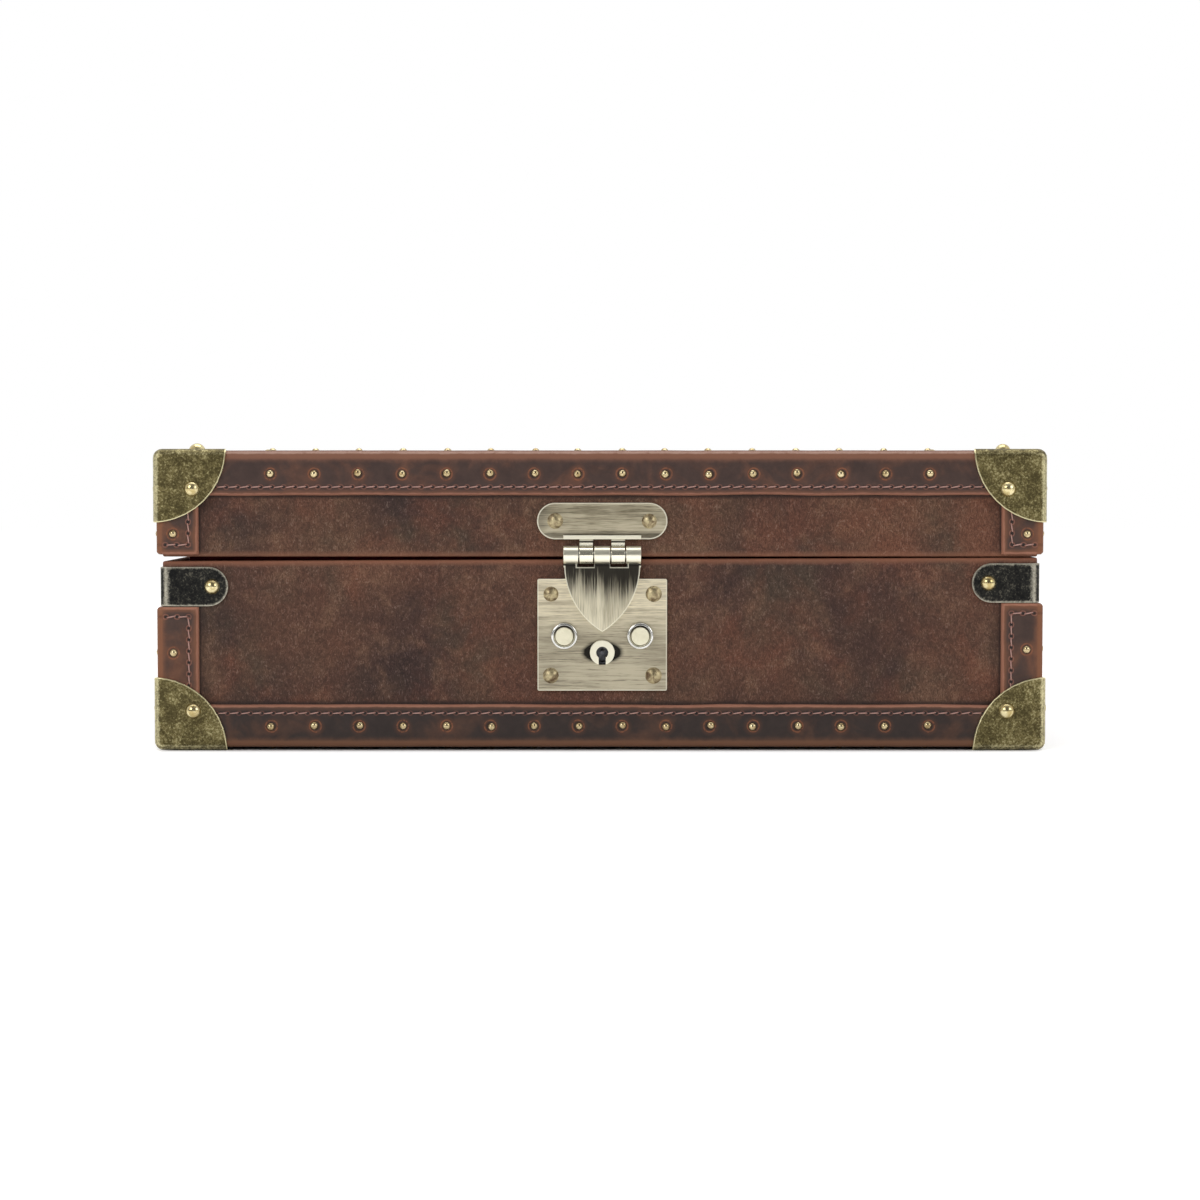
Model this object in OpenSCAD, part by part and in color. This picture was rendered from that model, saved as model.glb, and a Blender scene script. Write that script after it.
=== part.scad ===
// Pocket watch display box: a leather-covered wooden chest with stitched edge bindings,
// brass corner caps, a hasp with a two-button lock, and cushioned compartments inside.
// Millimetres. +Z is up, the front faces -Y, and the origin is under the middle of the box.

/* [Box] */
// Width over the leather panels, without bindings and corner caps
box_w = 313.6; // [260:1:380]
// Depth over the leather panels
box_d = 240; // [200:1:300]
// Height of the base rim above the table, at its right end
base_h = 69.2; // [66:0.5:100]
// How much lower the hand-cut rim lies at its left end
rim_fall = 1.3; // [0:0.1:1.5]
// Height of the lid over its corner caps
lid_h = 38.6; // [37:0.5:60]
// Seam between the rim and the lid at the right end
seam_gap = 0.3; // [0.2:0.1:1]

/* [Walls] */
// Wooden side walls
wall_t = 7; // [6.5:0.5:10]
// Wooden floor
floor_t = 6; // [4:0.5:9]
// Wooden top of the lid
top_t = 6; // [4:0.5:8]
// Leather over the wood
leather_t = 1.5; // [1:0.1:2]
// Rounding of the upright leather corners
leather_r = 0.8; // [0.4:0.1:1.2]

/* [Bindings] */
// Thickness of the leather bindings
binding_t = 2; // [1.5:0.1:2.4]
// Width of the lid's binding on each face
lid_binding_w = 15.4; // [12:0.2:16]
// Width of the base's binding on each face
base_binding_w = 15.2; // [12:0.2:16]
// Width of the upright corner strips on each face
corner_strip_w = 15; // [12:0.5:16]
// Rounding of the bindings' outer edges
binding_r = 1.4; // [0.8:0.1:1.8]
// Gap between the ends of neighbouring strips
strip_gap = 0.3; // [0.2:0.1:0.6]
// Height of the lid's corner strips above its lower edge
strip_lift = 0.8; // [0.4:0.1:1.5]

/* [Corner caps and braces] */
// Thickness of the corner caps
cap_t = 1.2; // [0.8:0.1:1.6]
// Reach of a cap from its corner, along each edge
cap_reach = 26.3; // [22:0.1:30]
// Rounding of the caps' outer edges
cap_r = 2.6; // [2.4:0.1:4]
// Distance of a cap's rivets from the box's outer faces
cap_rivet = 14.3; // [12:0.1:16]
// Thickness of the rim braces
brace_t = 1; // [0.6:0.1:1.4]
// Height of a brace
brace_h = 14; // [11:0.5:15]
// Reach of a brace from its bend
brace_reach = 24.5; // [22:0.5:30]
// Distance of a brace below the rim
brace_drop = 2.1; // [1.5:0.1:3]
// Distance of a brace's rivet from its bend
brace_rivet = 18.7; // [15:0.1:19]

/* [Tacks and rivets] */
// Head of a tack, across
tack_d = 2.9; // [2:0.1:3.5]
// Height of a tack's head
tack_h = 1; // [0.6:0.1:1.1]
// Spacing of the tacks
tack_pitch = 15.7; // [12:0.1:20]
// Distance of the first tack from the end of a row's leather panel
tack_end = 39; // [36:0.5:44]
// Distance of the tack on a corner strip of the base below the brace
base_strip_tack = 16.8; // [12:0.1:18]
// Distance of the tack on a corner strip of the lid below the cap
lid_strip_tack = 4.1; // [3:0.1:5]
// Head of a rivet, across
rivet_d = 5.7; // [4.5:0.1:6.2]
// Height of a rivet's head
rivet_h = 2; // [1.2:0.1:2.4]
// Shank of a rivet, across
shank_d = 2.2; // [1.6:0.1:2.6]
// Flat nail let into the underside of each lower cap, across
foot_nail_d = 4.6; // [4:0.1:5.2]
// Play around a shank or a let-in head
shank_play = 0.05; // [0.03:0.01:0.1]

/* [Lid inside] */
// Thickness of the liner boards in the base
liner_t = 3; // [2:0.5:4]
// Height of the liner's lip above the rim
lip_h = 4; // [2:0.5:6]
// Play between the lip and the lid
lip_gap = 0.4; // [0.3:0.1:0.8]
// Thickness of the lid's lining boards
lid_lining_t = 1.5; // [1:0.1:2.5]
// Thickness of the pad under the lid's top
lid_pad_t = 5; // [3:0.5:8]

/* [Compartments] */
// Thickness of the dividers
divider_t = 3; // [2:0.5:4]
// Distance of the dividers below the rim's lower end
divider_drop = 1.5; // [1:0.5:6]
// Thickness of the covered floor board
floor_board_t = 1; // [0.8:0.1:2]
// Height of a cushion at its crown
cushion_h = 30; // [20:1:36]
// Radius of a cushion's crown
crown_r = 110; // [90:5:200]
// Rounding of a cushion's corners, seen from above
cushion_r = 9; // [4:0.5:14]
// Room between a cushion and its compartment
cushion_gap = 0.5; // [0.3:0.1:1.5]

/* [Hasp] */
// Offset of the lock and hasp to the right of the middle
lock_x = 0.8; // [-2:0.1:2]
// Knuckles of the hasp and the rear hinges, across
knuckle_d = 6.4; // [5.6:0.1:7]
// Room around the turning knuckles
knuckle_gap = 0.3; // [0.2:0.05:0.5]
// Hinge pins, across
pin_d = 2.5; // [2:0.1:3]
// Play between a pin and its knuckles
pin_play = 0.05; // [0.02:0.01:0.1]
// Height of the hasp's axis above the lid's lower edge
hasp_axis_h = 0.7; // [0.4:0.1:2]
// Width of the hasp over its knuckles
hasp_w = 27.7; // [24:0.1:32]
// Height of the hasp's tip above the middle of the lock plate
hasp_tip = 1.1; // [0.5:0.1:4]
// Thickness of the hasp
hasp_t = 1.6; // [1.2:0.1:2.2]
// Centre of an arm of the bracket, from the middle
arm_x = 5.7; // [5.2:0.1:6.5]
// Width of an arm of the bracket
arm_w = 4.9; // [4:0.1:5.5]
// Length of the riveted bracket
bracket_w = 46.7; // [42:0.1:56]
// Height of the riveted bracket
bracket_h = 13.1; // [11:0.1:14]
// Distance of the bracket below the middle of its room on the lid
bracket_drop = 0.3; // [0:0.1:0.4]
// Thickness of the bracket and the hinge leaves
plate_t = 1.2; // [1:0.1:1.6]
// Distance between the bracket's rivets
bracket_rivets = 33.6; // [30:0.1:36]

/* [Lock] */
// Width of the lock plate
lock_w = 46.4; // [46:0.1:60]
// Height of the lock plate
lock_h = 40.1; // [39.5:0.1:42]
// Rounding of the lock plate's corners
lock_r = 0.6; // [0.3:0.1:2]
// Thickness of the lock plate
lock_t = 1.6; // [1.2:0.1:2]
// Distance of the plate's rivets from its sides
lock_rivet_side = 4.8; // [4:0.1:6]
// Distance of the plate's rivets from its upper and lower edges
lock_rivet_end = 5.4; // [4:0.1:7]
// Boss around the keyhole, across
boss_d = 8.8; // [8:0.1:9.4]
// Height of the keyhole's boss above the plate
boss_h = 2.2; // [1:0.1:3]
// Distance of the keyhole below the plate's middle
key_drop = 6.3; // [5.6:0.1:7]
// Round part of the keyhole, across
keyhole_d = 4.3; // [4:0.1:4.8]
// Slot of the keyhole, across
key_slot_w = 2.5; // [1.8:0.1:2.8]
// Post that a hollow key turns on, across
key_post_d = 1.4; // [1:0.1:1.8]
// Distance of each button from the plate's side
button_side = 9.6; // [9:0.1:10.2]
// Button cap, across
button_d = 6.3; // [5:0.1:6.6]
// Ring around a button, across
button_ring_d = 9; // [8:0.1:9.4]
// Height of a button's ring above the plate
button_ring_h = 1.2; // [0.8:0.1:1.8]
// Height of a button's face above its ring
button_proud = 2; // [1.8:0.1:3]
// Travel of a button
button_travel = 1.5; // [1:0.1:1.6]
// Play around a button
button_play = 0.06; // [0.03:0.01:0.1]
// Width of the staple's head
staple_w = 7; // [5:0.1:7.2]
// Room between the staple and each catch
catch_gap = 0.3; // [0.2:0.05:0.5]
// Sheet of the lock case
case_t = 1; // [0.8:0.1:1.2]

/* [Rear hinges] */
// Distance of each hinge from the middle
hinge_x = 95; // [70:1:110]
// Width of a hinge
hinge_w = 32; // [24:1:45]
// Height of a hinge leaf from the axis
hinge_leaf = 15; // [12:0.5:18]
// Head of a hinge screw, across
screw_d = 4.4; // [3.5:0.1:5]
// Height of a hinge screw's head
screw_h = 0.8; // [0.5:0.1:1.2]

/* [Hidden] */
$fn = 48;
eps = 0.5;

// Levels, from the table up
skin_z = cap_t + binding_t;
wood_z = skin_z + leather_t;
floor_z = wood_z + floor_t;
board_z = floor_z + floor_board_t;
lid_z = base_h + seam_gap;
box_top = lid_z + lid_h;
lid_skin_top = box_top - skin_z;
lid_wood_top = lid_skin_top - leather_t;
lid_inside_top = lid_wood_top - top_t;
lip_z = base_h + lip_h;

// Half sizes of the nested outlines
panel_x = box_w / 2;
panel_y = box_d / 2;
band_x = panel_x + binding_t;
band_y = panel_y + binding_t;
cap_x = band_x + cap_t;
cap_y = band_y + cap_t;
wood_w = box_w - 2 * leather_t;
wood_d = box_d - 2 * leather_t;
inner_w = wood_w - 2 * wall_t;
inner_d = wood_d - 2 * wall_t;
room_w = inner_w - 2 * liner_t;
room_d = inner_d - 2 * liner_t;
lid_room_w = inner_w - 2 * lid_lining_t;
lid_room_d = inner_d - 2 * lid_lining_t;

// Compartments: four from side to side and three from front to back
cells_x = 4;
cells_y = 3;
divider_top = base_h - rim_fall - divider_drop;
divider_h = divider_top - board_z;
cell_w = (room_w - (cells_x - 1) * divider_t) / cells_x;
cell_d = (room_d - (cells_y - 1) * divider_t) / cells_y;
joint_play = 0.1;

// Rear hinges and hasp
axis_out = knuckle_gap + knuckle_d / 2;
hinge_y = panel_y + axis_out;
hinge_z = base_h + seam_gap / 2;
hasp_y = -panel_y - axis_out;
hasp_z = lid_z + hasp_axis_h;
hasp_back = -panel_y - lock_t - knuckle_gap;
lock_z = (cap_t + base_binding_w + hasp_z - axis_out) / 2;
hasp_l = hasp_z - lock_z - hasp_tip;
hasp_shoulder = axis_out + 0.8;
knuckle_side = 0.2;
hasp_side = 0.4;
bracket_low = hasp_z + axis_out;
bracket_high = box_top - cap_t - lid_binding_w;
bracket_mid = (bracket_low + bracket_high) / 2 - bracket_drop;
ledge_h = 1.6;
ledge_out = 1.1;
bracket_z = bracket_mid - bracket_h / 2;

// Lock
lock_rivet_x = lock_w / 2 - lock_rivet_side;
lock_rivet_z = lock_h / 2 - lock_rivet_end;
button_x = lock_w / 2 - button_side;
plate_front = -panel_y - lock_t;
key_z = lock_z - key_drop;
button_z = lock_z - 0.4;
flange_d = button_d + 1.3;
flange_t = 1;
flange_front = -panel_y + 0.2;
flange_back = flange_front + flange_t;
tooth_in = 1.6;
tooth_l = button_travel + 0.9;
catch_t = 2;
catch_front = flange_back + button_travel + 0.1;
catch_back = catch_front + catch_t;
catch_in = button_x + tooth_in + tooth_l - (catch_front - flange_back) + 0.25;
catch_arm_w = 2.5;
catch_out = catch_in + catch_arm_w;
nose_l = 3;
nose_h = 2.5;
nose_low = lock_z + lock_h / 2 - 2 * nose_h;
nose_top = nose_low + nose_h;
catch_top = nose_top + 0.3;
nose_in = staple_w / 2 + catch_gap;
case_x = catch_out + button_travel + 0.35;
case_top = catch_top + 0.3;
case_low = key_z - 9.2;
case_back = catch_back + 1;
staple_head = 2.9;
staple_low = nose_low - catch_gap - staple_head;
staple_top = hasp_z - hasp_shoulder - 0.5;
staple_neck = 3.4;
staple_t = lock_t - 0.3;
follower_d = 7.6;
follower_front = -panel_y + 0.2;
follower_back = case_back - 0.3;
cam_t = 1.4;
cam_r = 6.5;
follower_gap = 0.08;

// Centre of tack number i of a row along a panel of length l
function tack_gaps(l) = max(1, round((l - 2 * tack_end) / tack_pitch));
function tack_at(l, i) = -l / 2 + tack_end + i * (l - 2 * tack_end) / tack_gaps(l);
// Radius of the ball that a domed head is cut from
function dome_r(d, h) = (d * d / 4 + h * h) / (2 * h);
// Height of the sloping rim at x
function rim_at(x) = base_h - rim_fall * (0.5 - x / box_w);

// ---- Shapes used by several pieces ----

// Flat rectangle with round corners, centred
module rounded_rect(w, d, r) {
  square([w - 2 * r, d], center = true);
  square([w, d - 2 * r], center = true);
  for (x = [-1, 1], y = [-1, 1])
    translate([x * (w / 2 - r), y * (d / 2 - r)]) circle(r = r);
}

// Upright block whose lower edges and upright corners are round
module round_bottom_block(w, d, z0, z1, r) {
  translate([0, 0, z0 + r]) linear_extrude(height = z1 - z0 - r) rounded_rect(w, d, r);
  translate([-w / 2 + r, -d / 2 + r, z0]) cube([w - 2 * r, d - 2 * r, 2 * r]);
  for (y = [-1, 1])
    translate([-w / 2 + r, y * (d / 2 - r), z0 + r]) rotate([0, 90, 0]) cylinder(r = r, h = w - 2 * r);
  for (x = [-1, 1])
    translate([x * (w / 2 - r), -d / 2 + r, z0 + r]) rotate([-90, 0, 0]) cylinder(r = r, h = d - 2 * r);
  for (x = [-1, 1], y = [-1, 1])
    translate([x * (w / 2 - r), y * (d / 2 - r), z0 + r]) sphere(r = r);
}

// Block of the base, up to the sloping rim lowered by drop
module rim_block(w, d, z0, drop, r) {
  intersection() {
    translate([0, 0, z0]) linear_extrude(height = base_h - z0 + eps) rounded_rect(w, d, r);
    rotate([90, 0, 0]) linear_extrude(height = d + 2, center = true)
      polygon([
        [-w, z0], [w, z0], [w, rim_at(w) - drop], [-w, rim_at(-w) - drop]
      ]);
  }
}

// Puts flat work on one side of the box: local X runs right, Y up and Z outwards
module on_side(turn, out) {
  rotate([0, 0, turn]) translate([0, -out, 0]) rotate([90, 0, 0]) children();
}

// Domed head standing on z = 0
module dome(d, h) {
  intersection() {
    translate([0, 0, h - dome_r(d, h)]) sphere(r = dome_r(d, h));
    cylinder(d = d + 2, h = h + 1);
  }
}

// Rivet whose shank reaches back through a sheet of thickness t
module rivet(t) {
  dome(rivet_d, rivet_h);
  translate([0, 0, -t]) cylinder(d = shank_d, h = t + 0.2);
}

// Opening for a rivet's shank
module shank_hole(t) {
  translate([0, 0, -t - eps]) cylinder(d = shank_d + 2 * shank_play, h = t + 2 * eps);
}

// Opening of the lock case through the leather and into the front wall
module lock_mortise() {
  m = case_t + 0.1;
  translate([lock_x - case_x - m, -panel_y - eps, case_low - m])
    cube([2 * (case_x + m), case_back + m + panel_y + eps, case_top - case_low + 2 * m]);
}

// Everything below is written for the base and turned upside down for the lid
module upside_down() {
  translate([0, 0, box_top]) mirror([0, 0, 1]) children();
}

// Wedge of the plan that belongs to one side, cut at 45 degrees in the corners
module mitre(turn) {
  along = (turn % 180 == 0) ? band_x : band_y;
  out = (turn % 180 == 0) ? band_y : band_x;
  deep = 30;
  cut = 0.1;
  rotate([0, 0, turn]) translate([0, 0, -1]) linear_extrude(height = box_top + 2)
    polygon([
      [-along - 3 + cut, -out - 3], [along + 3 - cut, -out - 3],
      [along - deep - cut, -out + deep], [-along + deep + cut, -out + deep]
    ]);
}

// Folded edge binding along one lower side of the box
module edge_binding(turn, w) {
  intersection() {
    difference() {
      round_bottom_block(2 * band_x, 2 * band_y, cap_t, cap_t + w, binding_r);
      translate([0, 0, skin_z]) linear_extrude(height = w + 1) rounded_rect(box_w, box_d, leather_r);
      translate([-band_x + w, -band_y + w, 0]) cube([2 * (band_x - w), 2 * (band_y - w), w + 5]);
    }
    mitre(turn);
  }
}

// Upright strip round one corner, between two levels
module corner_strip(z0, z1) {
  intersection() {
    difference() {
      translate([0, 0, z0]) linear_extrude(height = z1 - z0) rounded_rect(2 * band_x, 2 * band_y, binding_r);
      translate([0, 0, z0 - 1]) linear_extrude(height = z1 - z0 + 2) rounded_rect(box_w, box_d, leather_r);
    }
    translate([-band_x - 1, -band_y - 1, z0 - 1]) cube([corner_strip_w + 1, corner_strip_w + 1, z1 - z0 + 2]);
  }
}

// Places its child on the four upright corners; the child is drawn at the front left
module four_corners() {
  for (x = [0, 1], y = [0, 1]) mirror([x, 0, 0]) mirror([0, y, 0]) children();
}

// Corner cap at the lower front left corner; a foot cap lies flat underneath
module corner_cap(foot) {
  difference() {
    intersection() {
      difference() {
        round_bottom_block(2 * cap_x, 2 * cap_y, 0, 2 * cap_reach, cap_r);
        round_bottom_block(2 * band_x, 2 * band_y, cap_t, 3 * cap_reach, binding_r);
      }
      translate([-cap_x, -cap_y, 0]) sphere(r = cap_reach, $fn = 96);
    }
    translate([-cap_x + cap_rivet, 0, cap_rivet]) on_side(0, cap_y) shank_hole(cap_t);
    translate([0, -cap_y + cap_rivet, cap_rivet]) on_side(270, cap_x) shank_hole(cap_t);
    translate([-cap_x + cap_rivet, -cap_y + cap_rivet, -eps])
      cylinder(d = (foot ? foot_nail_d : shank_d) + 2 * shank_play, h = cap_t + 2 * eps);
  }
}

// Rivets of one corner cap, and its flat nail where it is a foot
module cap_rivets(foot) {
  translate([-cap_x + cap_rivet, 0, cap_rivet]) on_side(0, cap_y) rivet(cap_t);
  translate([0, -cap_y + cap_rivet, cap_rivet]) on_side(270, cap_x) rivet(cap_t);
  translate([-cap_x + cap_rivet, -cap_y + cap_rivet, 0]) {
    if (foot) translate([0, 0, 0.1]) cylinder(d = foot_nail_d, h = cap_t - 0.1);
    else rotate([180, 0, 0]) rivet(cap_t);
  }
}

// Outline of a brace on one face, from the corner at x = 0
module brace_outline(z) {
  translate([-1, z - brace_h / 2]) square([brace_reach - brace_h / 2 + 1, brace_h]);
  translate([brace_reach - brace_h / 2, z]) circle(d = brace_h);
}

// Middle height of a brace at one end of the box
function brace_z(x) = rim_at(x) - brace_drop - brace_h / 2;

// Strap bent round an upright corner under the rim, drawn at the front left
module corner_brace(z) {
  bx = panel_x + brace_t;
  by = panel_y + brace_t;
  difference() {
    intersection() {
      translate([0, 0, z - brace_h]) linear_extrude(height = 2 * brace_h) rounded_rect(2 * bx, 2 * by, brace_t + leather_r);
      union() {
        translate([-bx, 0, 0]) rotate([90, 0, 0]) translate([0, 0, panel_y - 2]) linear_extrude(height = 5) brace_outline(z);
        translate([0, -by, 0]) rotate([90, 0, 90]) translate([0, 0, -panel_x - 3]) linear_extrude(height = 5) brace_outline(z);
      }
    }
    translate([0, 0, z - brace_h - 1]) linear_extrude(height = 2 * brace_h + 2) rounded_rect(box_w, box_d, leather_r);
    translate([-bx + brace_rivet, 0, z]) on_side(0, by) shank_hole(brace_t);
    translate([0, -by + brace_rivet, z]) on_side(270, bx) shank_hole(brace_t);
  }
}

// Rivets of one brace, drawn at the front left
module brace_rivets(z) {
  translate([-panel_x - brace_t + brace_rivet, 0, z]) on_side(0, panel_y + brace_t) rivet(brace_t);
  translate([0, -panel_y - brace_t + brace_rivet, z]) on_side(270, panel_x + brace_t) rivet(brace_t);
}

// Two rows of tacks along one lower edge: on the side face and on the underside
module edge_tacks(turn, w) {
  l = (turn % 180 == 0) ? box_w : box_d;
  out = (turn % 180 == 0) ? band_y : band_x;
  for (i = [0 : tack_gaps(l)]) {
    on_side(turn, out) translate([tack_at(l, i), cap_t + w / 2, 0]) dome(tack_d, tack_h);
    rotate([0, 0, turn]) translate([tack_at(l, i), -out + w / 2, cap_t]) rotate([180, 0, 0]) dome(tack_d, tack_h);
  }
}

// One tack on each face of the front left corner strip
module strip_tacks(z) {
  in = corner_strip_w * 0.4;
  on_side(0, band_y) translate([-band_x + in, z, 0]) dome(tack_d, tack_h);
  on_side(270, band_x) translate([band_y - in, z, 0]) dome(tack_d, tack_h);
}

// Barrel of a hinge along X from a to b, with its bore
module barrel(a, b) {
  translate([a, 0, 0]) rotate([0, 90, 0]) difference() {
    cylinder(d = knuckle_d, h = b - a);
    translate([0, 0, -1]) cylinder(d = pin_d + 2 * pin_play, h = b - a + 2);
  }
}

// Bore of a hinge along X from a to b
module barrel_bore(a, b) {
  translate([a - 1, 0, 0]) rotate([0, 90, 0]) cylinder(d = pin_d + 2 * pin_play, h = b - a + 2);
}

// ---- Base ----

module base_carcass() color("burlywood") {
  difference() {
    rim_block(wood_w, wood_d, wood_z, leather_t, leather_r);
    translate([-inner_w / 2, -inner_d / 2, floor_z]) cube([inner_w, inner_d, base_h]);
    lock_mortise();
  }
}

module base_leather() color("saddlebrown") {
  difference() {
    rim_block(box_w, box_d, skin_z, 0, leather_r);
    rim_block(wood_w, wood_d, wood_z, leather_t, leather_r);
    translate([-inner_w / 2, -inner_d / 2, floor_z]) cube([inner_w, inner_d, base_h]);
    lock_mortise();
  }
}

module liner_frame() color("maroon") {
  difference() {
    union() {
      translate([-inner_w / 2, -inner_d / 2, floor_z]) cube([inner_w, inner_d, base_h - floor_z]);
      translate([-inner_w / 2 + lip_gap, -inner_d / 2 + lip_gap, base_h - 1])
        cube([inner_w - 2 * lip_gap, inner_d - 2 * lip_gap, lip_h + 1]);
    }
    translate([-room_w / 2, -room_d / 2, floor_z - 1]) cube([room_w, room_d, lip_z]);
  }
}

module floor_board() color("maroon") {
  translate([-room_w / 2, -room_d / 2, floor_z]) cube([room_w, room_d, floor_board_t]);
}

// Long divider number k, counted from the front, notched from below
module divider_long(k) color("firebrick") {
  y = -room_d / 2 + k * cell_d + (k - 1) * divider_t;
  difference() {
    translate([-room_w / 2, y, board_z]) cube([room_w, divider_t, divider_h]);
    for (i = [1 : cells_x - 1])
      translate([-room_w / 2 + i * cell_w + (i - 1) * divider_t - joint_play, y - 1, board_z - 1])
        cube([divider_t + 2 * joint_play, divider_t + 2, divider_h / 2 + 1 + joint_play]);
  }
}

// Cross divider number k, counted from the left, notched from above
module divider_cross(k) color("firebrick") {
  x = -room_w / 2 + k * cell_w + (k - 1) * divider_t;
  difference() {
    translate([x, -room_d / 2, board_z]) cube([divider_t, room_d, divider_h]);
    for (i = [1 : cells_y - 1])
      translate([x - 1, -room_d / 2 + i * cell_d + (i - 1) * divider_t - joint_play, board_z + divider_h / 2])
        cube([divider_t + 2, divider_t + 2 * joint_play, divider_h]);
  }
}

// Crowned cushions of compartment row k, counted from the front
module cushion_row(k) color("indianred") {
  w = cell_w - 2 * cushion_gap;
  d = cell_d - 2 * cushion_gap;
  for (i = [0 : cells_x - 1])
    translate([-room_w / 2 + i * (cell_w + divider_t) + cell_w / 2, -room_d / 2 + k * (cell_d + divider_t) + cell_d / 2, board_z])
      intersection() {
        linear_extrude(height = cushion_h) rounded_rect(w, d, cushion_r);
        translate([0, 0, cushion_h - crown_r]) sphere(r = crown_r);
      }
}

module base_binding(turn) color("sienna") {
  edge_binding(turn, base_binding_w);
}

// Upright strips of the base, from the lower binding to the braces
module base_corner_strips() color("sienna") {
  low = cap_t + base_binding_w + strip_gap;
  for (x = [0, 1], y = [0, 1]) mirror([x, 0, 0]) mirror([0, y, 0])
    corner_strip(low, brace_z(x == 0 ? -panel_x : panel_x) - brace_h / 2 - strip_gap);
}

module base_cap(mx, my) color("darkkhaki") {
  mirror([mx, 0, 0]) mirror([0, my, 0]) corner_cap(true);
}

module brace(mx, my) color("dimgray") {
  mirror([mx, 0, 0]) mirror([0, my, 0]) corner_brace(brace_z(mx == 0 ? -panel_x : panel_x));
}

module base_tacks() color("peru") {
  for (turn = [0, 90, 180, 270]) edge_tacks(turn, base_binding_w);
  for (x = [0, 1], y = [0, 1]) mirror([x, 0, 0]) mirror([0, y, 0])
    strip_tacks(brace_z(x == 0 ? -panel_x : panel_x) - brace_h / 2 - base_strip_tack);
}

// Rivets of the lower caps, the braces and the lock plate
module base_rivets() color("khaki") {
  four_corners() cap_rivets(true);
  for (x = [0, 1], y = [0, 1]) mirror([x, 0, 0]) mirror([0, y, 0])
    brace_rivets(brace_z(x == 0 ? -panel_x : panel_x));
  for (x = [-1, 1], z = [-1, 1])
    on_side(0, panel_y + lock_t) translate([lock_x + x * lock_rivet_x, lock_z + z * lock_rivet_z, 0]) rivet(lock_t);
}

// ---- Lock ----

module lock_plate() color("lightgray") {
  difference() {
    union() {
      on_side(0, panel_y) translate([lock_x, lock_z, 0]) linear_extrude(height = lock_t) rounded_rect(lock_w, lock_h, lock_r);
      on_side(0, panel_y) translate([lock_x, key_z, 0]) cylinder(d = boss_d, h = lock_t + boss_h);
      for (x = [-1, 1])
        on_side(0, panel_y) translate([lock_x + x * button_x, button_z, 0]) cylinder(d = button_ring_d, h = lock_t + button_ring_h);
    }
    for (x = [-1, 1])
      on_side(0, panel_y) translate([lock_x + x * button_x, button_z, -1])
        cylinder(d = button_d + 2 * button_play, h = lock_t + button_ring_h + 2);
    for (x = [-1, 1], z = [-1, 1])
      on_side(0, panel_y + lock_t) translate([lock_x + x * lock_rivet_x, lock_z + z * lock_rivet_z, 0]) shank_hole(lock_t);
    on_side(0, panel_y) translate([lock_x, key_z, -1]) cylinder(d = keyhole_d, h = lock_t + boss_h + 2);
    on_side(0, panel_y) translate([lock_x - key_slot_w / 2, key_z - boss_d / 2 - 0.05, -1])
      cube([key_slot_w, boss_d / 2 + 0.05, lock_t + boss_h + 2]);
    on_side(0, panel_y) translate([lock_x - staple_w / 2 - 0.5, staple_low - 0.5, -1])
      cube([staple_w + 1, lock_h, lock_t + 2]);
    on_side(0, panel_y) translate([lock_x - nose_in - nose_l - button_travel - 0.3, nose_low - 0.3, -1])
      cube([2 * (nose_in + nose_l + button_travel + 0.3), nose_top - nose_low + 0.6, lock_t + 2]);
  }
}

// Case behind the plate, with the key's post and the ring that the follower turns in
module lock_case() color("silver") {
  difference() {
    translate([lock_x - case_x - case_t, -panel_y, case_low - case_t])
      cube([2 * (case_x + case_t), case_back + case_t + panel_y, case_top - case_low + 2 * case_t]);
    translate([lock_x - case_x, -panel_y - 1, case_low])
      cube([2 * case_x, case_back + panel_y + 1, case_top - case_low]);
  }
  translate([lock_x, plate_front - boss_h + 0.3, key_z]) rotate([-90, 0, 0])
    cylinder(d = key_post_d, h = case_back + eps - plate_front + boss_h - 0.3);
  translate([lock_x, follower_front + cam_t + 0.2, key_z]) rotate([-90, 0, 0]) difference() {
    cylinder(d = follower_d + 2 * follower_gap + 2, h = case_back + eps - follower_front - cam_t - 0.2);
    translate([0, 0, -1]) cylinder(d = follower_d + 2 * follower_gap, h = case_back - follower_front - cam_t - 0.2 + 1);
  }
}

// Button with its flange and the sloping tooth that drives the catch; side is -1 or 1
module button(side) color("gainsboro") {
  translate([lock_x + side * button_x, 0, button_z]) {
    translate([0, plate_front - button_ring_h - button_proud, 0]) rotate([-90, 0, 0])
      cylinder(d = button_d, h = flange_front + 0.2 - plate_front + button_ring_h + button_proud);
    translate([0, flange_front, 0]) rotate([-90, 0, 0]) cylinder(d = flange_d, h = flange_t);
    translate([0, 0, -1.5]) linear_extrude(height = 3)
      polygon([
        [side * tooth_in, flange_back - 0.3], [side * (flange_d / 2 - 0.2), flange_back - 0.3],
        [side * (flange_d / 2 - 0.2), flange_back], [side * (tooth_in + tooth_l), flange_back],
        [side * tooth_in, flange_back + tooth_l]
      ]);
  }
}

// Return spring of a button, wound from round wire
spring_turns = 4;
spring_wire = 0.5;
spring_r = 1.1;
spring_l = case_back - flange_back - spring_wire;
spring_steps = 8 * spring_turns;
function spring_point(i, j) = let(a = 360 * i / 8, b = 60 * j, r = spring_r + spring_wire / 2 * cos(b))
  [r * cos(a), flange_back + spring_wire / 2 + spring_l * i / spring_steps + spring_wire / 2 * sin(b), r * sin(a)];

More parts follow.
